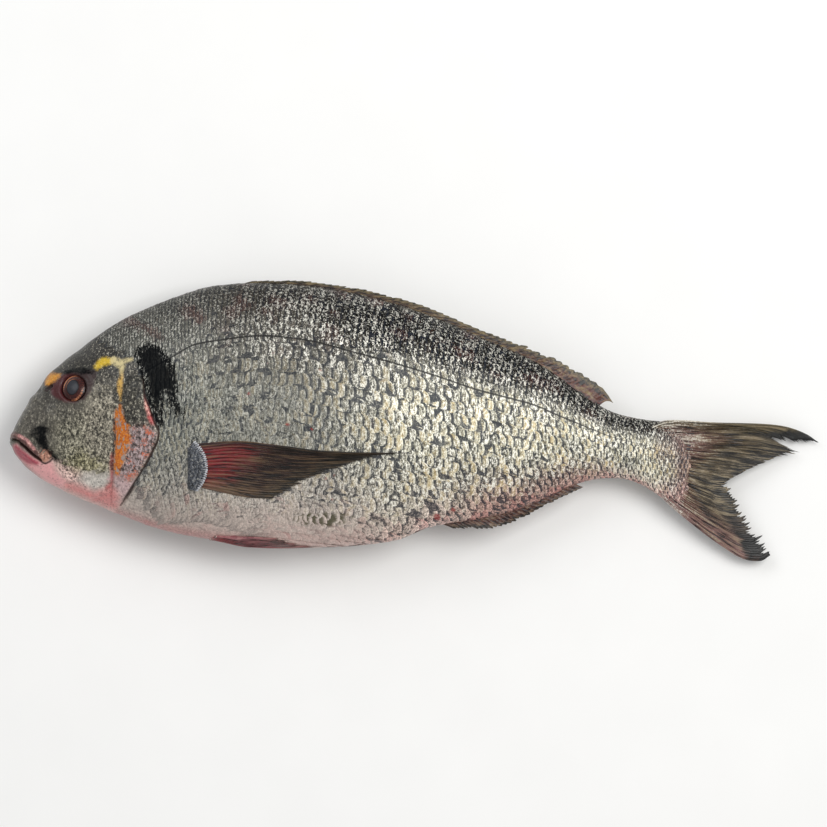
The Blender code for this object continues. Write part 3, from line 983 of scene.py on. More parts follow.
    def head_tint(self, x: Array, y: Array) -> Array:
        """The colour of the head's skin.

        Args:
            x: Places along the fish.
            y: Places up the fish.

        Returns:
            Linear colours, with one more axis than x.
        """
        level = np.clip(TRUNK.level(x, y), 0, 1)
        tint = np.broadcast_to(linear((84, 80, 72)), (*np.shape(x), 3))
        tint = wash(tint, (42, 40, 36), rise(level, 0.6, 0.86) * rise(x, -165, -157))
        tint = wash(tint, (124, 120, 104), rise(y, 8, -6) * rise(x, -160, -148))
        tint = wash(tint, (132, 126, 112), rise(x, -145, -138) * rise(y, 18, 10))
        tint = self.washed(tint, x, y, (
            (self.opercle, (42, 41, 36), -2.5, 1.5, 0.85),
            (self.lavender, (142, 124, 122), -2.0, 2.0, 1.0),
            (self.pale_gill, (186, 160, 160), -2.0, 2.5, 1.0),
            (self.pink_strip, (190, 112, 106), -0.9, 0.8, 0.8),
            (self.yellow_cheek, (140, 134, 98), -3.5, 2.5, 0.7),
        ))
        low_edge = Profile(((-175, 0.5), (-160, 0.34), (-150, 0.26), (-135, 0.2), (-120, 0.12)))(x)
        tint = wash(tint, (208, 176, 168), rise(level, low_edge, low_edge - 0.14) * rise(x, -168, -158))
        tint = self.washed(tint, x, y, (
            (self.white_cheek, (196, 190, 182), -4.0, 2.5, 1.0),
            (self.throat, (212, 130, 128), -2.6, 2.2, 0.85),
            (self.jaw, (230, 168, 168), -2.0, 1.6, 1.0),
            (self.lower_lip, (158, 52, 72), -1.2, 0.7, 0.9),
        ))
        above = y - np.interp(x, *self.mouth.dense(40).T)
        lip = rise(above, 0.2, 0.7) * rise(above, 4.4, 2.8) * rise(x, -159.5, -161.5)
        tint = wash(tint, (98, 62, 58), 0.9 * lip)
        streak = away_from_line(x, y, np.array(((-171, -6.6), (-167.5, -8.6), (-164.6, -12.2))))
        tint = wash(tint, (186, 128, 126), 0.8 * rise(streak, 1.1, 0.3))
        return wash(tint, (180, 130, 110), rise(depth_in(x, y, self.maxilla), -0.8, 0.6))

    def mottle_at(self, x: Array, y: Array) -> Array:
        """How uneven the head's colour is, from 0 to 1.

        Args:
            x: Places along the fish.
            y: Places up the fish.

        Returns:
            The unevenness, in the shape of x.
        """
        level = np.clip(TRUNK.level(x, y), 0, 1)
        uneven = 0.42 + 0.5 * rise(depth_in(x, y, self.opercle), -3, 1)
        cheek = rise(x, -160, -150) * rise(y, 8, 2)
        uneven = np.maximum(uneven, 0.95 * cheek)
        uneven = np.maximum(uneven, 0.9 * rise(x, -143, -137))
        uneven = uneven * (1 - 0.35 * rise(depth_in(x, y, self.lavender), -1, 2))
        even = ((self.throat, -4), (self.jaw, -3), (self.white_cheek, -3), (self.pale_gill, -3))
        smooth_skin = np.max([rise(depth_in(x, y, outline), low, 0) for outline, low in even], axis=0)
        return uneven * (1 - 0.7 * smooth_skin) * (1 - 0.5 * rise(level, 0.16, 0.04))

    def tint(self, x: Array, y: Array) -> Array:
        """The colour of the skin anywhere, in linear values."""
        behind = self.behind_head(x, y)
        return mixed(self.head_tint(x, y), self.body_tint(x, y), rise(behind, -1.5, 1.5))

    def behind_head(self, x: Array, y: Array) -> Array:
        """How far behind the head x, y lies, where the scales of the body start.

        Args:
            x: Places along the fish.
            y: Places up the fish.

        Returns:
            The distances, in the shape of x.
        """
        edge = Profile((
            (-60, -133), (-41, -131), (-36.4, -127), (-24.8, -117.9), (-10.6, -111.7), (-5.4, -110.2),
            (5.6, -114.3), (19, -117), (24, -119.5), (28, -123), (32, -131), (37, -139), (60, -139),
        ))
        return x - edge(y)

    def marks(self, x: Array, y: Array) -> dict[str, Array]:
        """How deep each x, y lies in every mark.

        Args:
            x: Places along the fish.
            y: Places up the fish.

        Returns:
            The depths by the mark's name.
        """
        yellow = np.maximum(depth_in(x, y, self.forehead_patch), depth_in(x, y, self.brow_patch))
        wide = Profile(((8, 0.3), (12, 0.9), (20, 1.0), (24, 1.7), (27, 2.0)))(y)
        cream = wide - away_from_line(x, y, self.cream_line.dense(30))
        cream = np.maximum(depth_in(x, y, self.cream_patch), cream)
        black = np.maximum(depth_in(x, y, self.blotch), depth_in(x, y, self.mottle) * 0.5 - 0.7)
        black = np.maximum(black, np.minimum(depth_in(x, y, self.lip_black) * 0.9 - 0.1, 0.6))
        black = np.maximum(black, np.minimum(depth_in(x, y, self.eye_dark) - 0.8, 0.3))
        groove = self.cheek_groove.dense(40)
        crimson = np.maximum(depth_in(x, y, self.throat) - 4.4, 0.7 - away_from_line(x, y, groove[22:]))
        strip = depth_in(x, y, self.pink_strip) * rise(y, 4.5, 1.5) - DEEPEST * rise(y, 1.5, 4.5)
        crimson = np.maximum(crimson, strip)
        # Painted shade along the gill slit under the cover's edge, the mouth line, the lobe under the jaw,
        # the nostril and the cheek groove; in the slit partly the dark gills behind it.
        slit_width = Profile(((-38, 0.2), (-20, 0.4), (-8, 0.7), (2, 0.5), (19, 0.3)))(y)
        dark = np.maximum(
            slit_width - away_from_line(x, y, self.gill_edge_line() + np.array((0.3, 0))),
            0.45 - away_from_line(x, y, self.mouth.dense(40)[12:]),
        )
        dark = np.maximum(dark, 0.3 - away_from_line(x, y, self.under_lobe.dense(20)))
        dark = np.maximum(dark, 0.75 - away_from_line(x, y, self.nostril.dense(8)))
        dark = np.maximum(dark, 0.35 - away_from_line(x, y, groove[6:30]))
        found = {
            Mark.ORANGE: depth_in(x, y, self.orange),
            Mark.BLACK: black,
            Mark.YELLOW: yellow,
            Mark.RED: depth_in(x, y, self.eye_skin),
            Mark.DARK: dark,
            Mark.PALE: depth_in(x, y, self.lavender),
            Mark.CREAM: cream,
            Mark.CRIMSON: crimson,
        }
        return {mark.value: np.clip(depth, -DEEPEST, DEEPEST) for mark, depth in found.items()}

    @staticmethod
    def gill_edge_line() -> Array:
        """Points along the gill cover's rear edge."""
        y = np.linspace(TRUNK.gill_edge[-1][1], TRUNK.gill_edge[0][1], 60)
        return np.stack([TRUNK.gill_edge_at(y), y], axis=1)


MARKINGS = Markings()


@dataclass
class SkinFinish:
    """Wet skin: painted tints, ragged marks, fine specks and pores."""

    roughness: float = 0.36
    coat: float = 0.18

    def make(self) -> bpy.types.Material:
        """The material of head, gill covers and bare skin."""
        tree = Tree("wet_skin")
        fine, coarse = tree.noise(0.75, 4, rough=0.7), tree.noise(4.5, 5)
        flecks = tree.noise(1.0, 4, stretch=(1.0, 0.6, 1.0), turn=0.4, rough=0.75)
        ragged = (fine - 0.5) * 3.0 + (coarse - 0.5) * 3.6
        mottle, along = tree.layer("mottle"), tree.layer("along")
        # margin: the front of each small head scale, painted darker; partly pigment and partly painted shadow
        # of the scale ahead.
        margin = (along + (fine - 0.5) * 0.4).step(0.5, 0.85)
        grain = (flecks - 0.5) * 8.0 + (fine - 0.5) * 4.6 + (coarse - 0.5) * 1.8
        level = (0.95 + mottle * (grain - margin * 0.3)).most(0.12)
        colour = tree.shaded(tree.colour_layer("tint"), level)
        glint = (flecks + (fine - 0.5) * 0.6).step(0.56, 0.68) * mottle
        colour = tree.blend(colour, (216, 210, 190), glint * 0.7)
        specks = tree.specks(1.15, 0.42) * tree.noise(3.0, 3).step(0.42, 0.62)
        colour = tree.blend(colour, (44, 42, 36), specks * tree.layer("scaly") * 0.55)
        pale = tree.layer(Mark.PALE.value) + ragged
        colour = tree.blend(colour, (190, 172, 176), pale.step(-0.5, 2.5) * flecks.step(0.5, 0.62) * 0.8)
        rust = pale.step(-1.5, 3.0) * (fine + (coarse - 0.5) * 0.9).step(0.54, 0.62)
        colour = tree.blend(colour, (196, 92, 50), rust * 0.8)
        red = tree.layer(Mark.RED.value) + ragged * 0.5
        along_x, up_y = tree.axis(0), tree.axis(1)
        wine = tree.blend((68, 14, 20), (48, 28, 28), along_x.step(-0.1505, -0.1435))
        colour = tree.blend(colour, wine, red.step(-1.2, 0.5) * 0.92)
        crimson = tree.layer(Mark.CRIMSON.value) + ragged * 0.6
        colour = tree.blend(colour, (176, 48, 50), crimson.step(-1.0, 1.2) * 0.7)
        yellow = tree.layer(Mark.YELLOW.value) + ragged * 0.9
        gold = tree.blend((196, 130, 32), (206, 172, 40), along_x.step(-0.149, -0.145))
        gold = tree.blend(gold, (226, 206, 120), flecks.step(0.55, 0.68) * 0.7)
        colour = tree.blend(colour, gold, yellow.step(-0.6, 1.2) * (1 - fine.step(0.44, 0.36) * 0.5))
        cream = tree.layer(Mark.CREAM.value) + ragged * 0.55
        creamy = tree.blend((206, 162, 74), (208, 192, 140), up_y.step(0.017, 0.023))
        broken = 1 - flecks.step(0.48, 0.38) * 0.75
        colour = tree.blend(colour, creamy, cream.step(-0.6, 0.9) * broken * 0.9)
        orange = tree.layer(Mark.ORANGE.value) + ragged * 0.6
        fleck = tree.noise(1.5, 3, stretch=(1.5, 0.6, 1), rough=0.5).step(0.53, 0.58)
        rind = tree.blend((172, 84, 30), (208, 126, 42), fine.step(0.4, 0.6))
        rind = tree.blend(rind, (150, 144, 140), fleck * 0.85)
        rind = tree.blend(rind, (112, 62, 28), flecks.step(0.4, 0.3) * 0.7)
        colour = tree.blend(colour, rind, orange.step(-1.0, 0.8))
        ink = (tree.layer(Mark.BLACK.value) + ragged * 1.1).step(-0.9, 0.8)
        colour = tree.blend(colour, (13, 15, 18), ink * 0.97)
        # Painted shade in the gill slit, mouth, nostril and grooves.
        dark = tree.layer(Mark.DARK.value) + (fine - 0.5) * 0.5
        colour = tree.blend(colour, (34, 14, 12), dark.step(-0.4, 0.2) * 0.92)
        teeth = tree.layer("fringe") * along.step(0.5, 0.12)
        colour = tree.blend(colour, (206, 208, 214), teeth * fine.step(0.35, 0.55))
        normal = tree.bumps((fine, 0.12), (flecks, 0.2), (tree.noise(3.2, 3), 0.2))
        rough = self.roughness + 0.3 * (fine - 0.5) + 0.2 * ink
        return tree.surface(
            Base_Color=colour, Roughness=rough, Metallic=ink * 0.9, Specular_IOR_Level=0.32,
            Coat_Weight=self.coat * (1 - ink), Coat_Roughness=0.08, Normal=normal,
        )


@dataclass
class Skin:
    """Head and body as one closed skin with the head's fine relief."""

    head_start: float = -175.0
    head_end: float = -106.0
    tail_root: float = 118.0
    head_stations: int = 165
    body_stations: int = 118
    ring: int = 300
    crowding: float = 1.35
    socket_radius: float = 5.5
    socket_depth: float = 2.4
    brow_rise: float = 0.55
    groove_depth: float = 0.55
    mouth_depth: float = 1.9
    lip_rise: float = 0.55
    slit_depth: float = 1.7

    def stations(self) -> Array:
        """Where the rings stand, closest at the snout."""
        head = np.linspace(0, 1, self.head_stations) ** self.crowding
        body = np.linspace(0, 1, self.body_stations + 1)[1:]
        head = self.head_start + (self.head_end - self.head_start) * head
        return np.concatenate([head, self.head_end + (self.tail_root - self.head_end) * body])

    def relief(self, x: Array, y: Array) -> Array:
        """How far the skin stands out of the plain flank.

        Args:
            x: Places along the fish.
            y: Places up the fish.

        Returns:
            The distances, in the shape of x.
        """
        spots = MARKINGS
        from_eye = np.hypot(x - spots.eye[0], y - spots.eye[1])
        rim = self.brow_rise * bell(from_eye - self.socket_radius - 1.1, 1.3)
        raised = -self.socket_depth * rise(from_eye, self.socket_radius + 0.3, self.socket_radius - 0.5) + rim
        cheek = away_from_line(x, y, spots.cheek_groove.dense(50))
        raised -= self.groove_depth * bell(cheek, 0.7)
        mouth = away_from_line(x, y, spots.mouth.dense(60))
        raised += self.lip_rise * bell(mouth - 1.9, 1.1) - self.mouth_depth * bell(mouth, 0.55)
        raised += 0.5 * rise(depth_in(x, y, spots.maxilla), -0.5, 0.5)
        slit = away_from_line(x, y, spots.nostril.dense(8))
        raised += 0.3 * bell(slit - 1.5, 0.7) - 1.2 * rise(slit, 1.0, 0.3)
        raised -= 0.5 * rise(in_ellipse(x, y, (-162.4, 12.6), (0.7, 0.7)), -0.2, 0.3)
        raised += 0.5 * rise(in_ellipse(x, y, (-166.0, 9.3), (3.4, 2.6)), 0.0, 2.0)
        folds = (
            (-131.5, -27.0, -141.0, -31.0), (-129.5, -30.5, -139.0, -34.0), (-139.5, -25.5, -151.0, -27.5),
        )
        for x0, y0, x1, y1 in folds:
            fold = away_from_line(x, y, np.array(((x0, y0), (x1, y1))))
            raised += 0.2 * bell(fold - 1.3, 0.8) - 0.35 * bell(fold, 0.6)
        edge = x - TRUNK.gill_edge_at(y)
        window = TRUNK.cover_window(y)
        under_cover = -0.7 * rise(edge, -13, -6) * rise(edge, 1.2, 0.0)
        raised += window * (under_cover - self.slit_depth * bell(edge - 0.3, 0.8))
        raised += 0.12 * waves(x, y, 5.5, 5) * rise(x, -100, -120)
        return raised - 0.2 * rise(spots.behind_head(x, y), -0.5, 2.0)

    def build(self, finish: bpy.types.Material) -> bpy.types.Object:
        """The closed skin, painted.

        Args:
            finish: Its material.

        Returns:
            The skin.
        """
        xs = self.stations()
        angles = math.tau * (np.arange(self.ring) + 0.5) / self.ring
        x = np.repeat(xs[:, None], self.ring, axis=1)
        middle, half = TRUNK.spread(x)
        y = middle + half * np.sin(angles)[None, :]
        side = np.where(np.cos(angles) > 0, 1, -1)[None, :] * np.ones_like(x)
        z = TRUNK.middle_height(x) + side * TRUNK.plain_flank(x, y)
        places = np.stack([x, y, z], axis=-1)
        normal = grid_normals(places, ring=True)
        outward = np.stack([np.zeros_like(x), y - middle, z - TRUNK.middle_height(x)], axis=-1)
        if (normal * outward).sum() < 0:
            normal = -normal
        cheek = TRUNK.cover_relief(x, y) * rise(x, -124, -131)
        places = places + normal * (self.relief(x, y) + cheek)[..., None]
        places[..., 2] = np.maximum(places[..., 2], LEAST_HEIGHT)
        return self.close(places, finish)

    def close(self, places: Array, finish: bpy.types.Material) -> bpy.types.Object:
        """Closes the rings' two ends with round caps and paints the whole.

        Args:
            places: The rings, (stations, ring, 3).
            finish: Its material.

        Returns:
            The skin.
        """
        ends = []
        for row, forward in ((0, -0.55), (-1, 0.4)):
            rim = places[row]
            centre = rim.mean(axis=0)
            rings = []
            for share, push in ((0.8, 0.6), (0.45, 0.9), (0.15, 1.0)):
                ring = centre + (rim - centre) * share
                ring[:, 0] += forward * push
                ring[:, 2] = np.maximum(ring[:, 2], LEAST_HEIGHT)
                rings.append(ring)
            ends.append(np.array(rings))
        grid = np.concatenate([ends[0][::-1], places, ends[1]])
        corners, faces = capped(grid, np.array([grid[0].mean(axis=0), grid[-1].mean(axis=0)]))
        flat_x, flat_y = corners[:, 0], corners[:, 1]
        paint = Paint({"tint": MARKINGS.tint(flat_x, flat_y), **MARKINGS.marks(flat_x, flat_y)})
        behind = MARKINGS.behind_head(flat_x, flat_y)
        paint.layers["scaly"] = rise(behind, 2.0, -2.0)
        paint.layers["mottle"] = np.where(behind > 2, 0.25, MARKINGS.mottle_at(flat_x, flat_y))
        return new_piece("skin", corners, faces, finish, paint)


@dataclass(frozen=True)
class FinFinish:
    """Thin wet web between rays, which run along the fin's own coordinates."""

    name: str
    root: Colour
    middle: Colour
    tip: Colour
    streak: Colour
    first_edge: Colour
    last_edge: Colour
    glints: float = 0.02
    root_ends: float = 0.4
    black_tips: float = 0.0
    roughness: float = 0.34

    def make(self) -> bpy.types.Material:
        """The material of one fin."""
        tree = Tree(self.name)
        across, out = tree.layer("across"), tree.layer("out")
        ray = tree.layer("ray")
        streak = tree.noise_over(tree.joined(across * 0.6, out * 1.4, ray * 0.2), 3.0, 6.0, 0.7)
        blot, fine = tree.noise(7.0, 4), tree.noise(0.8, 4, rough=0.7)
        place = out + (blot - 0.5) * 0.35
        colour = tree.blend(self.root, self.middle, place.step(self.root_ends - 0.34, self.root_ends))
        share = tree.layer("share")
        colour = tree.blend(colour, self.first_edge, (share + (blot - 0.5) * 0.14).step(0.22, 0.02) * 0.85)
        colour = tree.blend(colour, self.last_edge, (share + (blot - 0.5) * 0.2).step(0.7, 0.98) * 0.8)
        lobe = (share - 0.5).size().step(0.2, 0.4)
        colour = tree.blend(colour, self.tip, place.step(0.62, 0.92) * (1 - lobe * self.black_tips))
        colour = tree.blend(colour, self.streak, streak.step(0.5, 0.6) * (fine * 0.9 + 0.35) * 0.9)
        dark = (1 - ray) * 0.25 + streak.step(0.5, 0.41) * 0.88
        colour = tree.blend(colour, (14, 12, 10), dark)
        glint = (streak * 0.6 + fine * 0.4 + out.step(0.5, 0.25) * 0.05).step(0.55, 0.6)
        glint = glint * out.step(self.glints, 0.0)
        colour = tree.blend(colour, (240, 236, 224), glint * 0.85)
        colour = tree.blend(colour, (7, 8, 8), place.step(0.8, 0.92) * lobe * self.black_tips)
        normal = tree.bumps((streak, 0.3), (fine, 0.1))
        return tree.surface(
            Base_Color=colour, Roughness=self.roughness + 0.2 * (streak - 0.5), Specular_IOR_Level=0.35,
            Coat_Weight=0.12, Coat_Roughness=0.1, Normal=normal,
        )


@dataclass(frozen=True)
class Blade:
    """A fin bounded by four paths in the side view: its outer rays, its root and its tips."""

    first: Path
    last: Path
    root: Path
    tips: Path

    def at(self, q: Array, s: Array) -> tuple[Array, Array]:
        """The place at share q from the first ray to the last and share s from root to tip.

        Args:
            q: Shares from the first ray to the last.
            s: Shares of the way out.

        Returns:
            The two coordinates, in the shape of q.
        """
        near, far = self.first(s), self.last(s)
        inner, outer = self.root(q), self.tips(q)
        corners = (
            (self.first.points[0], (1 - q) * (1 - s)), (self.last.points[0], q * (1 - s)),
            (self.first.points[-1], (1 - q) * s), (self.last.points[-1], q * s),
        )
        place = []
        for axis in (0, 1):
            edges = (1 - q) * near[axis] + q * far[axis] + (1 - s) * inner[axis] + s * outer[axis]
            place.append(edges - sum(weight * corner[axis] for corner, weight in corners))
        return place[0], place[1]


@dataclass
class FinSheet:
    """A thin closed sheet with rays that stand out on both faces and ragged tips."""

    name: str
    rays: int
    columns: int
    rows: int
    root_thickness: float
    tip_thickness: float
    ray_height: float = 0.35
    ragged: float = 0.05
    branches: int = 2
    seed: int = 5

    def ray_heights(self, q: Array, s: Array) -> Array:
        """1 on a ray and 0 on the web; the rays branch on their way out.

        Args:
            q: Shares from the first ray to the last.
            s: Shares of the way out.

        Returns:
            The heights, in the shape of q.
        """
        rays = 0.5 + 0.5 * np.cos(math.tau * q * self.rays)
        for level in range(1, self.branches + 1):
            finer = 0.5 + 0.5 * np.cos(math.tau * q * self.rays * 2**level)
            share = rise(s, 0.25 * level, 0.25 * level + 0.25)
            rays = rays * (1 - share) + finer * share
        return rays**1.4

    def reach(self, q: Array) -> Array:
        """The share of the way out at which the sheet ends, which differs from ray to ray.

        Args:
            q: Shares from the first ray to the last.

        Returns:
            The shares, in the shape of q.
        """
        rng = np.random.default_rng(self.seed)
        fine = self.rays * 2**self.branches
        outer = np.minimum(np.arange(fine + 1), fine - np.arange(fine + 1)) / 4
        ends = 1 - self.ragged * rng.random(fine + 1) ** 1.6 * 1.6 * np.clip(outer, 0, 1)
        k = np.clip((q * fine).astype(int), 0, fine)
        tip = 0.5 + 0.5 * np.cos(math.tau * (q * fine - k - 0.5))
        return ends[k] - self.ragged * 0.7 * (1 - tip) * np.clip(np.minimum(q, 1 - q) * 20, 0, 1)

    def build(self, place: Field, face: Field | None, finish: bpy.types.Material) -> bpy.types.Object:
        """Makes the sheet.

        Args:
            place: Gives the middle of the sheet, (rows, columns, 3), for q and s.
            face: Gives which way its upper face looks, for q and s, or None for the grid's own normals.
            finish: Its material.

        Returns:
            The closed sheet.
        """
        q, s = np.meshgrid(np.linspace(0, 1, self.columns), np.linspace(0, 1, self.rows))
        share = s * self.reach(q)
        middle = place(q, share)
        normal = face(q, share) if face else grid_normals(middle)
        if face is None and normal[..., 2].sum() < 0:
            normal = -normal
        ray = self.ray_heights(q, s)
        edge = np.minimum(rise(q, 0, 0.02), rise(1 - q, 0, 0.02)) * rise(1 - s, 0, 0.03)
        thick = self.root_thickness + (self.tip_thickness - self.root_thickness) * s
        height = self.ray_height * rise(s, -0.1, 0.35)
        half = (thick * (1 - height * (1 - ray)) * (0.25 + 0.75 * edge)) / 2
        upper = middle + normal * half[..., None]
        lower = middle - normal * half[..., None]
        for sheet in (upper, lower):
            sheet[..., 2] = np.maximum(sheet[..., 2], LEAST_HEIGHT)
        upper[..., 2] = np.maximum(upper[..., 2], lower[..., 2] + 0.05)
        corners, faces = shell(upper, lower)
        both = {"across": q * self.rays, "share": q, "out": s, "ray": ray}
        paint = Paint({name: np.tile(layer.ravel(), 2) for name, layer in both.items()})
        return new_piece(self.name, corners, faces, finish, paint)


@dataclass
class TailFin:
    """The forked tail fin."""

    blade: Blade = Blade(
        first=Path((
            (100, -3), (108.9, 0.1), (129.9, -0.9), (150.8, -1.5), (161.1, -2.8), (169.6, -5.9),
            (175.1, -9.6),
        )),
        last=Path((
            (100, -26), (108.9, -35.8), (124.6, -48.8), (135.1, -56.2), (142.4, -60.2), (149.8, -61),
            (154, -58.5),
        )),
        root=Path(((100, -3), (100, -26))),
        tips=Path((
            (175.1, -9.6), (168, -9.7), (158, -9.3), (163, -12.2), (167, -14.2), (159, -15.6),
            (152.9, -17.9), (142, -22.6), (135.6, -26.7), (138.4, -31.1), (141.6, -38.5), (146.4, -44.5),
            (151.4, -50.6), (153.6, -55.4), (154, -58.5),
        )),
    )
    sheet: FinSheet = field(default_factory=lambda: FinSheet(
        "tail_fin", rays=22, columns=353, rows=90, root_thickness=5.6, tip_thickness=0.6, ray_height=0.4,
        ragged=0.042,
    ))
    finish: FinFinish = FinFinish(
        "tail_web", root=(120, 84, 78), middle=(82, 70, 50), tip=(28, 27, 24), streak=(164, 148, 120),
        first_edge=(104, 92, 62), last_edge=(148, 110, 106), glints=0.85, root_ends=0.66, black_tips=1.0,
    )

    def build(self) -> bpy.types.Object:
        """The tail fin."""

        def place(q: Array, s: Array) -> Array:
            """The middle of the limp fin."""
            x, y = self.blade.at(q, s)
            wave = 0.5 * np.sin(q * 9 + s * 3) * s
            z = np.maximum(TRUNK.middle_height(x) + wave, 0.45)
            return np.stack([x, y, z], axis=-1)

        return self.sheet.build(place, None, self.finish.make())


@dataclass
class RidgeFin:
    """A folded fin along the back or the belly."""

    name: str
    start: float
    end: float
    edge: Profile
    sweep: float
    rays: int
    inward: float
    finish: FinFinish
    ragged: float = 0.2

    def ridge(self, x: Array) -> Array:
        """The outline of the body under the fin."""
        return TRUNK.back(x) if self.inward < 0 else TRUNK.belly(x)

    def place(self, q: Array, s: Array) -> Array:
        """The middle of the web at share q along the fin and s out of its root.

        Args:
            q: Shares from the first ray to the last.
            s: Shares of the way out.

        Returns:
            The places, (rows, columns, 3).
        """
        x = self.start + (self.end - self.start) * q + self.sweep * (1 - 0.5 * q) * s
        base = self.ridge(x) + self.inward
        y = base + (self.edge(x) - base) * s
        lean = 0.6 * np.sin(q * self.rays * 0.7) * s
        return np.stack([x, y, TRUNK.middle_height(x) + lean], axis=-1)

    def build(self) -> bpy.types.Object:
        """The web with its rays."""
        sheet = FinSheet(
            self.name, rays=self.rays, columns=self.rays * 16 + 1, rows=36, root_thickness=2.4,
            tip_thickness=0.5, ray_height=0.35, ragged=self.ragged, branches=1, seed=len(self.name),
        )

        def face(q: Array, s: Array) -> Array:
            """Straight up everywhere."""
            up = np.zeros((*q.shape, 3))
            up[..., 2] = 1
            return up

        return sheet.build(self.place, face, self.finish.make())


@dataclass
class PectoralFin:
    """A long pectoral fin folded back along the flank."""

    side: int
    name: str
    blade: Blade = Blade(
        first=Path(((-97, -10.2), (-76.2, -8.8), (-59.2, -10.5), (-42, -12.7), (-24, -13.6), (-3, -13.8))),
        last=Path(((-96, -28), (-84.8, -30.5), (-72, -33), (-61.8, -33.5))),
        root=Path(((-97, -10.2), (-94, -15), (-93, -20), (-96, -28))),
        tips=Path(((-3, -13.8), (-16.4, -15.6), (-33.5, -20.7), (-49.8, -27.5), (-61.8, -33.5))),
    )
    rise_at_root: float = 1.1
    rise_at_tip: float = 1.9
    sink: float = 0.9
    lowest: float = 0.8

    def build(self, finish: bpy.types.Material) -> bpy.types.Object:
        """The fin over the scales of its flank.

        Args:
            finish: Its material.

        Returns:
            The fin.
        """
        sheet = FinSheet(
            self.name, rays=14, columns=281, rows=120, root_thickness=2.0, tip_thickness=1.3, ray_height=0.5,
            ragged=0.06, branches=1, seed=8,
        )

        def place(q: Array, s: Array) -> Array:
            """The middle of the fin, half sunk in the flank."""
            x, y = self.blade.at(q, s)
            up = self.rise_at_root + (self.rise_at_tip - self.rise_at_root) * s
            outer = TRUNK.middle_height(x) + self.side * (TRUNK.flank(x, y) + up)
            outer = np.maximum(outer, self.lowest)
            return np.stack([x, y, outer - self.side * (up + self.sink) / 2], axis=-1)

        def face(q: Array, s: Array) -> Array:
            """The way that the flank faces."""
            x, y = self.blade.at(q, s)
            return TRUNK.skin_normal(x, y, self.side) * self.side

        return sheet.build(place, face, finish)


@dataclass
class PelvicFin:
    """A pelvic fin folded back against the belly."""

    side: int
    name: str
    blade: Blade = Blade(
        first=Path(((-89, 2.5), (-66, 2.6), (-44, 3.6))),
        last=Path(((-86, 6.5), (-71, 9.2), (-60, 9.6))),
        root=Path(((-89, 2.5), (-86, 6.5))),
        tips=Path(((-44, 3.6), (-52, 7.2), (-60, 9.6))),
    )
    rise: float = 2.1
    sink: float = 1.2
    widest: float = 0.95

    def build(self, finish: bpy.types.Material) -> bpy.types.Object:
        """The fin under the belly.

        Args:
            finish: Its material.

        Returns:
            The fin.
        """
        sheet = FinSheet(
            self.name, rays=5, columns=81, rows=60, root_thickness=self.rise + self.sink, tip_thickness=0.6,
            ray_height=0.3, ragged=0.14, branches=1, seed=3,
        )

        def place(q: Array, s: Array) -> Array:
            """The middle of the fin under the belly."""
            x, out = self.blade.at(q, s)
            middle, half = TRUNK.spread(x)
            share = np.minimum(out / TRUNK.half_thickness(x), self.widest)
            drop = (1 - share ** (2 / TRUNK.belly_sharpness)) ** 0.5
            y = middle - half * drop + self.sink - (self.rise + self.sink) / 2 * smooth(s * 2.6)
            return np.stack([x, y, TRUNK.middle_height(x) + self.side * out], axis=-1)

        def face(q: Array, s: Array) -> Array:
            """The way that looks into the belly."""
            up = grid_normals(place(q, s))
            return up * np.where(up[..., 1:2] > 0, 1, -1)

        return sheet.build(place, face, finish)


@dataclass(frozen=True)
class EyeFinish:
    """A dark pupil in a copper iris under a clear wet dome."""

    pupil: float = 2.75

    def make(self) -> bpy.types.Material:
        """The eye's material, painted by distance from its middle."""
        tree = Tree("eye_dome")
        out = tree.layer("out") + (tree.noise(1.2, 3) - 0.5) * 0.35
        turn = tree.layer("turn")
        streak = tree.noise_over(tree.joined(turn * 9, out * 0.6, 0.0), 2.0, 5.0, 0.6)
        lit = tree.layer("lit")
        iris = tree.blend((36, 16, 17), (84, 38, 32), streak.step(0.4, 0.7))
        arc = tree.blend((64, 30, 26), (196, 128, 92), (lit.size() + (streak - 0.5) * 0.9).step(0.25, 0.7))
        colour = tree.blend((46, 48, 54), (22, 16, 18), out.step(self.pupil - 0.5, self.pupil))
        colour = tree.blend(colour, iris, out.step(self.pupil, self.pupil + 0.3))
        ring = out.step(3.95, 4.25) * out.step(4.9, 4.6)
        broken = (lit.most(lit * -0.6) + (streak - 0.5) * 1.2).step(0.2, 0.55)
        colour = tree.blend(colour, arc, ring * broken)
        inner = out.step(self.pupil, self.pupil + 0.15) * out.step(self.pupil + 0.6, self.pupil + 0.3)
        colour = tree.blend(colour, arc, inner * lit.step(0.0, 0.5) * 0.7)
        colour = tree.blend(colour, (30, 11, 12), out.step(4.8, 5.1))
        return tree.surface(
            Base_Color=colour, Roughness=0.24, Specular_IOR_Level=0.25, Coat_Weight=0.08, Coat_Roughness=0.05,
            Normal=tree.bumps((streak, 0.05)),
        )


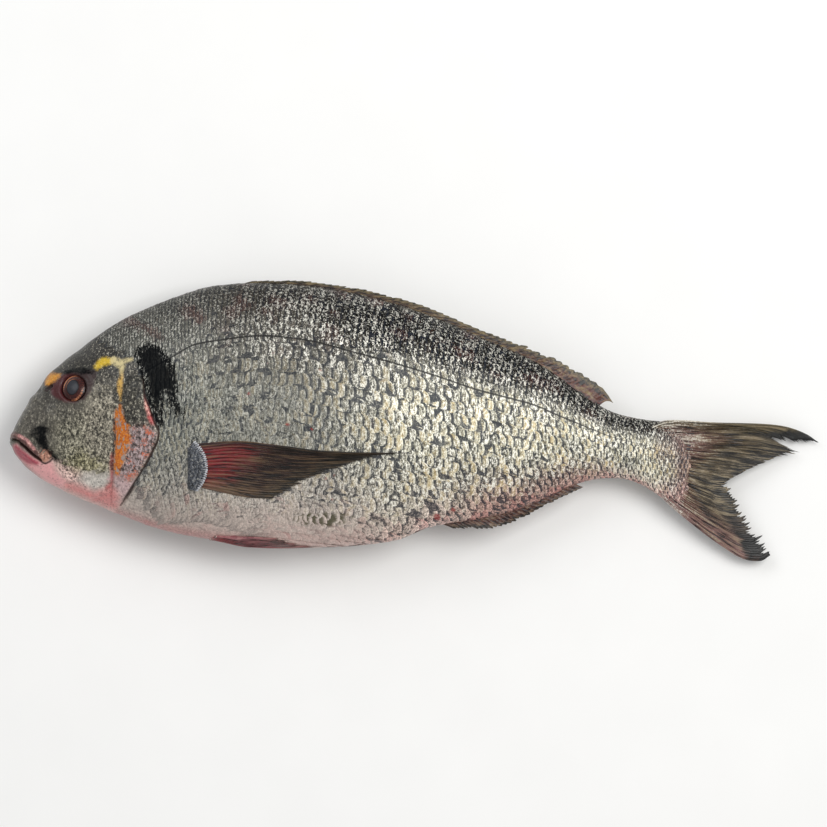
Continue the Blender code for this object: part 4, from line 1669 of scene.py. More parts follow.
@dataclass
class Eye:
    """One eye: a flat dome square to the skin."""

    side: int
    name: str
    radius: float = 6.6
    half_depth: float = 4.6
    sink: float = 3.0
    pupil_squeeze: float = 0.82
    segments: int = 96
    rings: int = 48

    def build(self, finish: bpy.types.Material) -> bpy.types.Object:
        """The eye in its socket.

        Args:
            finish: Its material.

        Returns:
            The eye.
        """
        x, y = MARKINGS.eye
        at = np.array((float(x),)), np.array((float(y),))
        normal = TRUNK.skin_normal(*at, self.side, step=1.0)[0]
        skin = np.array((x, y, float(TRUNK.skin_height(*at, self.side)[0])))
        up = np.array((0.0, 1.0, 0.0))
        up = up - normal * (up @ normal)
        up /= np.linalg.norm(up)
        ahead = np.cross(up, normal)
        tilt = np.linspace(0, math.pi, self.rings + 1)[1:-1]
        turn = math.tau * np.arange(self.segments) / self.segments
        tilt, turn = np.meshgrid(tilt, turn, indexing="ij")
        local = np.stack([np.sin(tilt) * np.cos(turn), np.sin(tilt) * np.sin(turn), np.cos(tilt)], axis=-1)
        poles = np.array([[0, 0, 1.0], [0, 0, -1.0]])
        local = np.concatenate([local.reshape(-1, 3), poles]) * (self.radius, self.radius, self.half_depth)
        centre = skin - normal * self.sink
        corners = centre + local[:, :1] * ahead + local[:, 1:2] * up + local[:, 2:] * normal
        corners, faces = capped(corners[:-2].reshape(self.rings - 1, self.segments, 3), corners[-2:])
        out = np.hypot(local[:, 0], local[:, 1] * self.pupil_squeeze)
        around = np.arctan2(local[:, 1], local[:, 0])
        toward = (corners[:, 1] - y - (corners[:, 0] - x)) / (math.sqrt(2) * self.radius)
        out = np.where(local[:, 2] > 0, out, self.radius)
        paint = Paint({"out": out, "turn": np.abs(around), "lit": toward})
        return new_piece(self.name, corners, faces, finish, paint)


@dataclass
class Wrap:
    """Lays flat places over a flank: x along the fish, v up or down round it from the lateral line."""

    side: int
    first: float = -168.0
    last: float = 124.0
    step: float = 0.5
    lowest: float = -110.0
    highest: float = 75.0
    past_ridge: float = math.radians(118)

    def __post_init__(self) -> None:
        """Works out the tables of places and directions."""
        self.xs = np.arange(self.first, self.last + self.step, self.step)
        self.vs = np.arange(self.lowest, self.highest + self.step, self.step)
        angle = np.linspace(-self.past_ridge, self.past_ridge, 720)
        places = np.zeros((len(self.xs), len(self.vs), 3))
        middle, half = TRUNK.spread(self.xs)
        thick = TRUNK.half_thickness(self.xs)
        line = MARKINGS.lateral_line(self.xs)
        power = np.where(angle > 0, TRUNK.back_sharpness, TRUNK.belly_sharpness)
        bulge = np.sign(np.cos(angle)) * np.abs(np.cos(angle)) ** power
        for k, x in enumerate(self.xs):
            y, out = middle[k] + half[k] * np.sin(angle), thick[k] * bulge
            run = np.concatenate(([0.0], np.cumsum(np.hypot(np.diff(y), np.diff(out)))))
            level = math.asin(np.clip((line[k] - middle[k]) / half[k], -0.95, 0.95))
            run -= np.interp(level, angle, run)
            places[k, :, 0] = x
            places[k, :, 1] = np.interp(self.vs, run, y)
            places[k, :, 2] = TRUNK.middle_height(x) + self.side * np.interp(self.vs, run, out)
        self.places = places
        self.normals = grid_normals(places)
        centre = self.normals[len(self.xs) // 2, np.searchsorted(self.vs, 0.0)]
        if centre[2] * self.side < 0:
            self.normals = -self.normals

    def look_up(self, table: Array, x: Array, v: Array) -> Array:
        """Reads a table between its entries.

        Args:
            table: The table.
            x: Places along the fish.
            v: Places round it.

        Returns:
            The table's values.
        """
        i = np.clip((x - self.first) / self.step, 0, len(self.xs) - 1.001)
        j = np.clip((v - self.lowest) / self.step, 0, len(self.vs) - 1.001)
        i0, j0 = i.astype(int), j.astype(int)
        a, b = (i - i0)[..., None], (j - j0)[..., None]
        near = table[i0, j0] * (1 - b) + table[i0, j0 + 1] * b
        far = table[i0 + 1, j0] * (1 - b) + table[i0 + 1, j0 + 1] * b
        return near * (1 - a) + far * a

    def at(self, x: Array, v: Array) -> Array:
        """The place on the skin."""
        return self.look_up(self.places, x, v)

    def v_at(self, x: Array, y: Array) -> Array:
        """The v of places in the side view."""
        rows = np.clip(np.rint((x - self.first) / self.step).astype(int), 0, len(self.xs) - 1)
        return np.array([np.interp(b, self.places[row, :, 1], self.vs) for row, b in zip(rows, y)])

    def lifted(self, flat: Array) -> Array:
        """Flat places, one row each of x, v and lift, as places over the skin.

        Args:
            flat: The flat places.

        Returns:
            The places, one row each.
        """
        normal = self.look_up(self.normals, flat[:, 0], flat[:, 1])
        normal /= np.linalg.norm(normal, axis=-1, keepdims=True)
        placed = self.at(flat[:, 0], flat[:, 1]) + normal * flat[:, 2:]
        placed[:, 2] = np.maximum(placed[:, 2], LEAST_HEIGHT)
        return placed


@dataclass
class ScaleRows:
    """Where the scales of a flank lie, in rows along the lateral line."""

    width: Profile = Profile((
        (-140, 1.7), (-115, 1.9), (-97.6, 2.2), (-80.4, 3.0), (-67.4, 3.4), (-50, 3.8), (-11, 3.86),
        (20, 3.65), (49, 3.3), (66, 2.9), (85, 2.4), (105, 1.9), (121, 1.6),
    ))
    pitch: Profile = Profile((
        (-140, 4.4), (-115, 5.2), (-98, 5.9), (-67, 6.1), (-11, 6.06), (20, 5.5), (49, 4.7), (66, 3.9),
        (85, 3.1), (105, 2.4), (121, 2.0),
    ))
    lean: Profile = Profile(((-140, 0.5), (-105, 0.5), (-85, 0.27), (-60, 0.1), (-40, 0.0), (121, 0.0)))
    upper_lean: float = 0.25
    upper_width: float = 0.68
    upper_pitch: float = 0.66
    rows_below: int = 21
    rows_above: int = 19
    crowding: float = 0.01
    seed: int = SEED

    def columns(self, scale: float) -> tuple[Callable[[Array], Array], int]:
        """The columns of scales along the fish.

        Args:
            scale: How much of their full width the scales have.

        Returns:
            What gives the x of a column by its number, and how many there are.
        """
        x = np.arange(-142.0, 124.0, 0.5)
        count = np.concatenate(([0.0], np.cumsum(0.5 / (scale * self.width(x[:-1])))))
        return lambda number: np.interp(number, count, x), int(count[-1])

    def lay(self) -> dict[str, Array]:
        """Every scale of one flank.

        Returns:
            Arrays by name: x and v of the rim's middle, width and height, and tone, from 0 to 1.
        """
        rng = np.random.default_rng(self.seed)
        found = []
        for above in (False, True):
            shrink = self.upper_width if above else 1.0
            place, count = self.columns(shrink)
            rows = range(1, self.rows_above) if above else range(self.rows_below)
            for row in rows:
                number = np.arange(count) + 0.5 * (row % 2)
                number = number + rng.normal(0, 0.035, count)
                x = place(number)
                step = row - self.crowding * (2 if above else 1) * row * row
                pitch = self.pitch(x) * (self.upper_pitch if above else 1.0)
                v = step * pitch if above else -step * pitch
                x = x - (self.upper_lean if above else self.lean(x)) * v
                v = v + rng.normal(0, 0.03, count) * pitch
                size = rng.normal(1, 0.035, count)
                width = self.width(x) * shrink * size
                found.append(np.stack([x, v, width, pitch * size, rng.random(count)], axis=1))
        table = np.concatenate(found)
        return dict(zip(("x", "v", "width", "height", "tone"), table.T))


@dataclass
class Plate:
    """One scale, flat: a rim that bows to the rear, a free tip and a front end under the scales ahead."""

    length: float = 2.2
    half_height: float = 0.6
    bow: float = 0.95
    squareness: float = 2.7
    tip_lift: float = 0.17
    front_drop: float = 0.13
    dome: float = 0.02
    rim_drop: float = 0.05
    across: int = 7
    stations: tuple[float, ...] = (0.0, 0.07, 0.35, 0.7, 1.05, 1.5, 2.2)

    def build(self) -> bpy.types.Object:
        """The plate in units of a scale's width and height, with where each corner lies on it.

        Returns:
            The plate.
        """
        b, u = np.meshgrid(np.linspace(-1, 1, self.across), np.array(self.stations))
        b = np.sin(b * math.pi / 2)
        bow = self.bow * (1 - (1 - np.abs(0.98 * b) ** self.squareness) ** (1 / self.squareness))
        lift = -self.front_drop + (self.tip_lift + self.front_drop) * (1 - u / self.length)
        lift = lift - self.dome * b**2 - self.rim_drop * (u == 0)
        corners = np.stack([-bow - u, b * self.half_height, lift], axis=-1).reshape(-1, 3)
        mesh = bpy.data.meshes.new("plate")
        mesh.from_pydata(corners.tolist(), [], grid_faces(len(self.stations), self.across).tolist())
        Paint({"along": u, "across": b}).put(mesh)
        return linked("plate", mesh)


@dataclass(frozen=True)
class ScaleFinish:
    """Silvery scales: a dark front margin that is partly pigment and partly painted shadow of the scale
    ahead, a golden middle, a painted highlight on the rim and painted glints for the wet glitter.
    """

    name: str = "silver_scale"
    roughness: float = 0.32
    metallic: float = 0.2

    def make(self) -> bpy.types.Material:
        """The material of the scales."""
        tree = Tree(self.name)
        along, across, tone, glint = (tree.layer(key) for key in ("along", "across", "tone", "glint"))
        fine, coarse = tree.noise(0.5, 4, rough=0.7), tree.noise(5.0, 4)
        upright = tree.noise(0.7, 4, stretch=(1.0, 0.4, 1.0), turn=-0.15, rough=0.75)
        place = along + (fine - 0.5) * 0.5 + across * across * 0.1
        # light is the strength of the painted glints, laid on each scale.
        tint, light, depth = tree.colour_layer("tint"), tree.layer("light"), tree.layer("contrast")
        # margin: the front of each scale, painted darker and blue-grey; partly pigment and partly painted
        # shadow of the scale ahead.
        margin = place.step(0.6, 0.86)
        # rim: a painted highlight along each scale's rear rim, which lightens the level below.
        rim = place.step(0.26, 0.06)
        grain = (upright - 0.5) * 7.0 + (fine - 0.5) * 4.4
        level = 0.94 + depth * (grain + (tone - 0.5) * 0.6 + (coarse - 0.5) * 0.9 + rim * 0.5 - margin * 0.7)
        level = level.most(0.13)
        colour = tree.shaded(tint, level)
        # Golden middles: partly the scales' own warm colour and partly painted glint, as they follow the
        # painted light.
        gold = place.step(0.1, 0.3) * place.step(0.85, 0.5)
        gold = gold * (tone * 0.5 + fine * 1.6 + coarse * 0.6).step(1.25, 1.6) * tree.layer("gilt_glint")
        colour = tree.blend(colour, (220, 194, 132), gold * 0.6)
        rust = (coarse + (fine - 0.5) * 1.4).step(0.68, 0.76) * tone.step(0.5, 0.9)
        colour = tree.blend(colour, (140, 88, 62), rust * light * 0.55)
        # Painted glints: white sparks towards each scale's middle, as strong as the painted light layer lets
        # them.
        crescent = place.step(0.0, 0.2) * place.step(0.75, 0.5)
        spark = upright + (fine - 0.5) * 0.5 + (glint - 0.5) * 0.09 + crescent * 0.06 + light * 0.02 - 0.025
        spark = spark.step(0.57, 0.63) * place.step(1.15, 0.8)
        colour = tree.blend(colour, (253, 251, 240), spark * light * 0.92)
        # Blue-grey on the front margins: partly pigment, partly painted shadow of the scale ahead.
        colour = tree.blend(colour, (44, 50, 62), margin * depth * 0.62 * (1 - spark * light))
        rear = tree.axis(0).step(0.055, 0.095)
        line = tree.layer("line").size() + (fine - 0.5) * 0.4 + rear * 0.3
        colour = tree.blend(colour, (24, 23, 21), line.step(0.6, 0.25) * 0.92)
        ragged = (fine - 0.5) * 2.2 + (coarse - 0.5) * 3.2
        red = tree.layer(Mark.RED.value) + ragged * 0.7
        colour = tree.blend(colour, (138, 28, 30), red.step(-0.3, 0.6) * 0.8)
        olive = tree.layer("olive") + ragged * 1.2
        colour = tree.blend(colour, (72, 70, 44), olive.step(-0.6, 1.0) * place.step(0.25, 0.5) * 0.85)
        ink = tree.layer(Mark.BLACK.value) + ragged * 1.5 + (tone - 0.5) * 1.2 + margin * 0.6 - 0.1
        core = tree.layer(Mark.BLACK.value).step(1.2, 3.2)
        ink = ink.step(-0.6, 0.5) * (1 - (upright + (fine - 0.5) * 0.4).step(0.54, 0.6) * (1 - core) * 0.75)
        colour = tree.blend(colour, (13, 15, 18), ink * 0.97)
        ridges = tree.noise(0.35, 2, stretch=(1.0, 0.25, 1.0))
        normal = tree.bumps((ridges, 0.04), (fine, 0.1), (upright, 0.15))
        rough = self.roughness + 0.3 * (fine - 0.5) + 0.15 * margin + 0.2 * ink
        gloom = tree.node("ShaderNodeSeparateColor", {}, {0: tint}).out(1).step(0.13, 0.03)
        metal = (self.metallic * (1 - margin * 0.6)).most(ink * 0.9).most(gloom * 0.75)
        return tree.surface(
            Base_Color=colour, Roughness=rough, Metallic=metal, Specular_IOR_Level=0.3,
            Coat_Weight=0.09 * (1 - ink), Coat_Roughness=0.08, Normal=normal,
        )


def grown_scales(
    tree: GeometryTree, plate: bpy.types.Object, rows: dict[str, Array], play: tuple,
    finish: bpy.types.Material,
) -> tuple[bpy.types.Mesh, Array, Array]:
    """Grows one plate on every seat.

    Args:
        tree: The tree that does it.
        plate: The plate.
        rows: The seats, as x, v, width and height, and heading where the scales are turned.
        play: How far each may turn at random about its three axes.
        finish: The material.

    Returns:
        The mesh, its corners in the flat and the number of each corner's scale.
    """
    seat_mesh = bpy.data.meshes.new("scale_seats")
    seats = np.stack([rows["x"], rows["v"], np.zeros_like(rows["x"])], axis=1)
    seat_mesh.from_pydata(seats.tolist(), [], [])
    heading = rows.get("heading", np.zeros(len(seats)))
    cells = np.arange(len(seats), dtype=float)
    each_seat = {"width": rows["width"], "height": rows["height"], "heading": heading, "cell": cells}
    Paint(each_seat).put(seat_mesh)
    seat = linked("scale_seats", seat_mesh)
    mesh = tree.grow(seat, {"Plate": plate, "Turn": play, "Seed": SEED, "Material": finish})
    bpy.data.objects.remove(seat)
    count = len(mesh.vertices)
    flat = np.zeros(count * 3, dtype=np.float32)
    mesh.vertices.foreach_get("co", flat)
    cell = np.zeros(count, dtype=np.float32)
    mesh.attributes["cell"].data.foreach_get("value", cell)
    return mesh, flat.reshape(-1, 3).astype(float), np.rint(cell).astype(int)


def finished_scales(name: str, mesh: bpy.types.Mesh, cell: Array, scales: int) -> bpy.types.Object:
    """The object of a painted coat, with a square of the baking map for each scale.

    Args:
        name: The object's name.
        mesh: The scales in their places.
        cell: The number of each corner's scale.
        scales: How many scales there are.

    Returns:
        The object, linked to the scene.
    """
    across = np.zeros(len(mesh.vertices), dtype=np.float32)
    along = np.zeros_like(across)
    mesh.attributes["across"].data.foreach_get("value", across)
    mesh.attributes["along"].data.foreach_get("value", along)
    side = math.ceil(math.sqrt(scales))
    margin = 0.04
    inner = 1 - 2 * margin
    u = (cell % side + margin + inner * along / Plate.length) / side
    v = (cell // side + margin + inner * (across + 1) / 2) / side
    corner = np.zeros(len(mesh.loops), dtype=np.int32)
    mesh.loops.foreach_get("vertex_index", corner)
    chart = mesh.uv_layers.new(name="OFBake")
    chart.data.foreach_set("uv", np.stack([u, v], axis=1)[corner].astype(np.float32).ravel())
    for spare in ("width", "height", "heading", "cell"):
        layer = mesh.attributes.get(spare)
        if layer:
            mesh.attributes.remove(layer)
    mesh.shade_smooth()
    mesh.name = name
    return linked(name, mesh)


@dataclass
class ScaleCoat:
    """All scales of one flank, made by Geometry Nodes and laid over the skin."""

    side: int
    name: str
    pitch_play: float = 0.022
    roll_play: float = 0.045
    yaw_play: float = 0.03
    tail_end: float = 119.5
    tail_middle: float = -17.5
    tail_half: float = 16.0
    overlap: float = 0.8
    past_ridge: float = 0.9

    @staticmethod
    def grower() -> GeometryTree:
        """The tree that sets a plate on every point, sized by the point and turned a little at random."""
        tree = GeometryTree("scale_rows", {
            "Plate": "NodeSocketObject", "Turn": "NodeSocketVector", "Seed": "NodeSocketInt",
            "Material": "NodeSocketMaterial",
        })
        seed, play = tree.given.out("Seed"), tree.given.out("Turn")
        reverse = {"Vector": play, "Scale": -1.0}
        back = tree.node("ShaderNodeVectorMath", {"operation": "SCALE"}, reverse).out(0)
        heading = tree.joined(0.0, 0.0, tree.named("heading"))
        loose = {0: tree.drawn(back, play, seed, "FLOAT_VECTOR"), 1: heading}
        euler = tree.node("ShaderNodeVectorMath", {"operation": "ADD"}, loose).out(0)
        turn = tree.node("FunctionNodeEulerToRotation", {}, {0: euler}).out(0)
        size = tree.joined(tree.named("width"), tree.named("height"), 1.0)
        plate = tree.node("GeometryNodeObjectInfo", {}, {"Object": tree.given.out("Plate")}).out("Geometry")
        points = tree.node("GeometryNodeMeshToPoints", {}, {0: tree.given.out("Geometry")}).out(0)
        laid = {"Points": points, "Instance": plate, "Rotation": turn, "Scale": size}
        scales = tree.node("GeometryNodeInstanceOnPoints", {}, laid).out(0)
        glint = {"Geometry": scales, "Name": "glint", "Value": tree.drawn(0.0, 1.0, seed)}
        settings = {"data_type": "FLOAT", "domain": "INSTANCE"}
        tree.close(tree.node("GeometryNodeStoreNamedAttribute", settings, glint).out(0))
        return tree

    def keep(self, rows: dict[str, Array], wrap: Wrap) -> dict[str, Array]:
        """The scales that lie on the body.

        Args:
            rows: All scales, as arrays by name.
            wrap: The flank.

        Returns:
            The kept scales in the same form.
        """
        place = wrap.at(rows["x"], rows["v"])
        x, y = place[:, 0], place[:, 1]
        up = (y - self.tail_middle) / self.tail_half
        end = self.tail_end - np.where(up > 0, 11.0, 4.0) * np.minimum(np.abs(up), 1.3) ** 2
        end = end + 2.6 * waves(x, y, 3, 61)
        over = (place[:, 2] - TRUNK.middle_height(x)) * self.side
        stay = (MARKINGS.behind_head(x, y) > self.overlap) & (x < end) & (over > -self.past_ridge)
        return {key: values[stay] for key, values in rows.items()}

    def build(
        self, tree: GeometryTree, plate: bpy.types.Object, finish: bpy.types.Material
    ) -> bpy.types.Object:
        """The coat of scales of this flank.

        Args:
            tree: The tree that grows scales.
            plate: One flat scale.
            finish: Its material.

        Returns:
            The coat.
        """
        wrap = Wrap(self.side)
        rows = self.keep(ScaleRows(seed=SEED + self.side).lay(), wrap)
        play = (self.roll_play, self.pitch_play, self.yaw_play)
        mesh, flat, cell = grown_scales(tree, plate, rows, play, finish)
        placed = wrap.lifted(flat)
        mesh.vertices.foreach_set("co", (placed * MM).astype(np.float32).ravel())
        centre = wrap.at(rows["x"] - rows["width"] * 0.5, rows["v"])
        x, y = centre[:, 0], centre[:, 1]
        tint, level = MARKINGS.body_tint(x, y), TRUNK.level(x, y)
        # light: how strong the painted glints are on each scale: weak on the belly, at the front and near the
        # tail, strong over the rear flank and the back.
        rear = rise(x, -60, 10)
        light = rise(level, 0.04, 0.2) * (0.22 + 0.78 * rear)
        upper = 0.4 + 0.5 * rise(x, -85, -50)
        light = light + (upper - light) * rise(level, 0.62, 0.76) * (1 - 0.25 * rise(level, 0.9, 1.0))
        light = light * (1 - 0.25 * rise(x, 80, 96) - 0.5 * rise(x, 106, 118))
        contrast = (0.3 + 0.7 * rise(level, 0.03, 0.26)) * (0.62 + 0.38 * rear)
        contrast = np.where(level < 0.3, np.maximum(contrast, 0.9 * rise(x, -40, 0)), contrast)
        tone = np.clip(rows["tone"] * 0.8 + 0.1 + 0.15 * waves(x, y, 9, 4), 0, 1)
        # Gold on the scales follows the painted light: partly own colour, partly painted glint.
        gilt_glint = light * rise(level, 0.76, 0.62)
        each = {"tint": tint, "light": light, "contrast": contrast, "tone": tone, "gilt_glint": gilt_glint}
        black = MARKINGS.marks(placed[:, 0], placed[:, 1])[Mark.BLACK.value]
        olive = in_ellipse(placed[:, 0], placed[:, 1], (-41.0, -42.3), (13.0, 3.0))
        Paint({
            **{key: values[cell] for key, values in each.items()}, "line": flat[:, 1], "olive": olive,
            Mark.RED.value: self.spots(placed), Mark.BLACK.value: black,
        }).put(mesh)
        return finished_scales(self.name, mesh, cell, len(rows["x"]))

    @staticmethod
    def spots(placed: Array) -> Array:
        """How deep each place lies in a small blood spot.

        Args:
            placed: The places, one row each.

        Returns:
            The depths.
        """
        spots = (
            (-61.3, 29.2, 0.7), (-63.3, 24.9, 0.6), (-49.2, 22.7, 0.9), (-71.8, 11.4, 0.8),
            (-58.3, 12.3, 0.6), (-41.0, 22.0, 0.7), (-44.5, -3.7, 0.9), (-64.7, -3.0, 0.5),
            (-35.2, -23.8, 1.0), (-38.7, -25.0, 0.8), (-36.0, -34.0, 0.7), (1.2, 15.2, 0.6),
            (-55.0, -2.0, 0.8), (9.0, -41.5, 1.6), (16.0, -38.6, 1.2),
        )
        depth = [radius - np.hypot(placed[:, 0] - x, placed[:, 1] - y) for x, y, radius in spots]
        return np.clip(np.max(depth, axis=0), -DEEPEST, DEEPEST)


@dataclass
class GillCover:
    """The thin bony cover over the gills, whose rear edge stands free over the shoulder."""

    side: int
    name: str
    rows: int = 170
    columns: int = 84
    front: Profile = Profile((
        (-37.5, -131.5), (-33, -131), (-25, -130.8), (-18.4, -130.5), (-8, -129.5), (2.4, -129.5),
        (7, -128.5), (10, -127), (15, -125), (20, -122),
    ))
    lowest: float = -36.9
    highest: float = 19.4
    swell: float = 0.5
    edge_curl: float = 0.9
    curl_width: float = 1.3
    tuck: float = 1.6
    thickness: float = 0.7
    rim_shade_width: float = 0.1

    def build(self, finish: bpy.types.Material) -> bpy.types.Object:
        """The cover, closed round its rim.

        Args:
            finish: Its material.

        Returns:
            The cover.
        """
        rise_up = smooth(np.linspace(0, 1, self.rows)) * 0.35 + np.linspace(0, 1, self.rows) * 0.65
        y = self.lowest + (self.highest - self.lowest) * rise_up
        front, rear = self.front(y), TRUNK.gill_edge_at(y)
        share = 1 - (1 - np.linspace(0, 1, self.columns)) ** 1.35
        x = front[:, None] + (rear - front)[:, None] * share[None, :]
        y = np.repeat(y[:, None], self.columns, axis=1)
        x = x + 0.12 * waves(x, y, 4.0, 31) * share[None, :]
        stand = self.stand(x, y, share[None, :])
        normal = TRUNK.skin_normal(x, y, self.side)
        z = TRUNK.middle_height(x) + self.side * TRUNK.plain_flank(x, y)
        base = np.stack([x, y, z], axis=-1)
        upper = base + normal * stand[..., None]
        lower = base + normal * (stand - self.thickness)[..., None]
        upper[..., 2] = np.maximum(upper[..., 2], LEAST_HEIGHT)
        lower[..., 2] = np.maximum(lower[..., 2], LEAST_HEIGHT)
        return self.join(upper, lower, finish)

    def stand(self, x: Array, y: Array, share: Array) -> Array:
        """How far the outer face stands over the plain flank.

        Args:
            x: Places along the fish.
            y: Places up the fish.
            share: Shares of the way from its front to its rear edge.

        Returns:
            The distances, in the shape of x.
        """
        window = TRUNK.cover_window(y)
        ahead = TRUNK.gill_edge_at(y) - x
        stand = TRUNK.cover_rise * (1 - smooth(ahead / TRUNK.cover_length)) * window
        stand = stand + self.swell * np.sin(math.pi * np.clip(share, 0, 1)) * window
        stand = stand - self.edge_curl * rise(ahead, self.curl_width, 0.0) * rise(window, 0.0, 0.5)
        ends = np.minimum(rise(y, self.lowest, self.lowest + 3), rise(y, self.highest, self.highest - 3))
        stand = stand * ends + (1 - ends) * 0.1
        fan = np.arctan2(y - 16.0, x + 128.0) + 0.12 * waves(x, y, 6.0, 41)
        ribs = 0.025 * np.sin(fan * 34) * rise(share, 0.1, 0.5)
        tucked = rise(share, 0.12, 0.0)
        return stand + ribs + 0.07 * waves(x, y, 3.0, 12) - self.tuck * tucked

    def join(self, upper: Array, lower: Array, finish: bpy.types.Material) -> bpy.types.Object:
        """Closes the two faces and paints them.

        Args:
            upper: The outer face.
            lower: The inner face.
            finish: Its material.

        Returns:
            The cover.
        """
        corners, faces = shell(upper, lower)
        x, y = corners[:, 0], corners[:, 1]
        marks = MARKINGS.marks(np.minimum(x, TRUNK.gill_edge_at(y) - 0.1), y)
        # The cover's rear rim gets a thin band of painted shade over the slit.
        edge = self.rim_shade_width - (TRUNK.gill_edge_at(y) - x)
        marks[Mark.DARK.value] = np.clip(np.maximum(marks[Mark.DARK.value], edge), -DEEPEST, DEEPEST)
        tint, mottle = MARKINGS.head_tint(x, y), MARKINGS.mottle_at(x, y)
        paint = Paint({"tint": tint, "scaly": np.ones(len(x)), "mottle": mottle, **marks})
        return new_piece(self.name, corners, faces, finish, paint)


@dataclass
class HeadScales:
    """The small scales of cheek and gill cover and the toothed fringe at the pectoral fin's root."""

    side: int
    name: str
    cover: GillCover
    skin: Skin
    cheek: Points = (
        (-157, 3), (-153, 5.5), (-141, 4.5), (-139.5, 12), (-141, 20), (-136, 22.5), (-129.5, 19), (-129, 8),
        (-130.6, 2), (-130.6, -8), (-131.6, -18), (-133, -22), (-142, -20), (-150, -18.5), (-156, -13),
        (-161, -5),
    )
    gills: Points = (
        (-127, 17), (-118.6, 17.5), (-117.6, 10.5), (-115.8, 5.2), (-113.8, -1.5), (-112.2, -5.4),
        (-113.4, -10.6), (-116, -17.5), (-119.6, -24.5), (-125, -29), (-129, -24), (-128.6, -10),
        (-128.6, 2), (-126.5, 8),
    )
    cheek_pitch: float = 2.35
    cheek_width: float = 1.75
    gill_pitch: float = 2.3
    gill_width: float = 1.9
    tall: float = 1.15
    outer: int = 25
    play: tuple[float, float, float] = (0.07, 0.05, 0.12)

    def surface(self, x: Array, y: Array) -> Array:
        """How far the head stands over the plain flank.

        Args:
            x: Places along the fish.
            y: Places up the fish.

        Returns:
            The distances, in the shape of x.
        """
        front, rear = self.cover.front(y), TRUNK.gill_edge_at(y)
        share = (x - front) / (rear - front)
        on_cover = (share > 0.0) & (y > self.cover.lowest) & (y < self.cover.highest) & (share < 1.05)
        stand = self.cover.stand(x, y, np.clip(share, 0, 1))
        bare = self.skin.relief(x, y) + TRUNK.cover_relief(x, y) * rise(x, -124, -131)
        return np.where(on_cover, np.maximum(stand, bare), bare)

    def arcs(self, rng: np.random.Generator) -> Array:
        """Seats on the cheek, in arcs round the eye: x, y, width, height and heading.

        Args:
            rng: Where their unlike sizes come from.

        Returns:
            The seats, one row each.
        """
        found = []
        for ring in range(20):
            radius = 8.6 + self.cheek_pitch * ring
            count = int(math.tau * radius / self.cheek_width)
            turn = math.tau * (np.arange(count) + 0.5 * (ring % 2)) / count
            x = MARKINGS.eye[0] + radius * np.cos(turn)
            y = MARKINGS.eye[1] + radius * np.sin(turn)
            heading = np.where(np.sin(turn) < 0, turn + math.pi / 2, turn - math.pi / 2)
            heading = np.arctan2(np.sin(heading), np.cos(heading)) * 0.75
            size = rng.normal(1, 0.06, count)
            high = self.cheek_pitch * self.tall * size
            found.append(np.stack([x, y, self.cheek_width * size, high, heading], axis=1))
        seats = np.concatenate(found)
        return seats[depth_in(seats[:, 0], seats[:, 1], self.cheek) > 0.2]

    def rows(self, rng: np.random.Generator) -> Array:
        """Seats on the gill cover, in upright rows.

        Args:
            rng: Where their unlike sizes come from.

        Returns:
            The seats, one row each.
        """
        found = []
        for row in range(26):
            y = 19.0 - self.gill_pitch * row
            x = np.arange(-131.0, -108.0, self.gill_width) + self.gill_width * 0.5 * (row % 2)
            size = rng.normal(1, 0.06, len(x))
            lean = np.full(len(x), -0.25)
            high = self.gill_pitch * self.tall * size
            found.append(np.stack([x, np.full(len(x), y), self.gill_width * size, high, lean], axis=1))
        seats = np.concatenate(found)
        return seats[depth_in(seats[:, 0], seats[:, 1], self.gills) > 0.2]

    def fringe(self) -> Array:
        """Seats of the narrow scales that fan out over the pectoral fin's root.

        Returns:
            The seats, one row each.
        """
        found = []
        hub = (-104.5, -19.6)
        for ring, radius, count in ((0, 9.2, 9), (1, 11.4, 13), (2, 13.4, 17), (3, 15.4, self.outer)):
            turn = np.linspace(-0.8, 0.8, count) + 0.05 * (ring % 2)
            x, y = hub[0] + radius * np.cos(turn), hub[1] + radius * 0.95 * np.sin(turn)
            long, wide = (2.6, 0.85) if count == self.outer else (1.9, 1.3)
            found.append(np.stack([x, y, np.full(count, long), np.full(count, wide), turn * 0.8], axis=1))
        return np.concatenate(found)

    def build(
        self, tree: GeometryTree, plate: bpy.types.Object, finish: bpy.types.Material
    ) -> bpy.types.Object:
        """All of them as one piece.

        Args:
            tree: The tree that grows scales.
            plate: One flat scale.
            finish: Its material.

        Returns:
            The piece.
        """
        rng = np.random.default_rng(SEED)
        wrap = Wrap(self.side)
        parts = (self.arcs(rng), self.rows(rng), self.fringe())
        seats = np.concatenate(parts)
        fringe_from = len(parts[0]) + len(parts[1])
        v = Wrap(1).v_at(seats[:, 0], seats[:, 1])
        rows = dict(zip(("x", "v", "width", "height", "heading"), (seats[:, 0], v, *seats[:, 2:].T)))
        mesh, flat, cell = grown_scales(tree, plate, rows, self.play, finish)
        middle = wrap.at(flat[:, 0], flat[:, 1])
        x, y = middle[:, 0], middle[:, 1]
        over_root = 2.7 * rise(x, -99.8, -96) - 0.9
        on_fringe = cell >= fringe_from
        flat[:, 2] = flat[:, 2] * 0.8 + self.surface(x, y) + np.where(on_fringe, over_root, 0.05)
        placed = wrap.lifted(flat)
        mesh.vertices.foreach_set("co", (placed * MM).astype(np.float32).ravel())
        tint = MARKINGS.head_tint(seats[:, 0], seats[:, 1])
        tint[fringe_from:] = linear((66, 70, 78))
        marks = MARKINGS.marks(x, y).items()
        layers = {key: np.where(on_fringe, -DEEPEST, depth) for key, depth in marks}
        mottle = np.where(on_fringe, 0.6, MARKINGS.mottle_at(x, y))
        toothed = np.where(cell >= len(seats) - self.outer, 1.0, 0.15 * on_fringe)
        still = {"scaly": np.ones(len(cell)), "fringe": toothed}
        Paint({"tint": tint[cell], "mottle": mottle, **still, **layers}).put(mesh)
        return finished_scales(self.name, mesh, cell, len(seats))


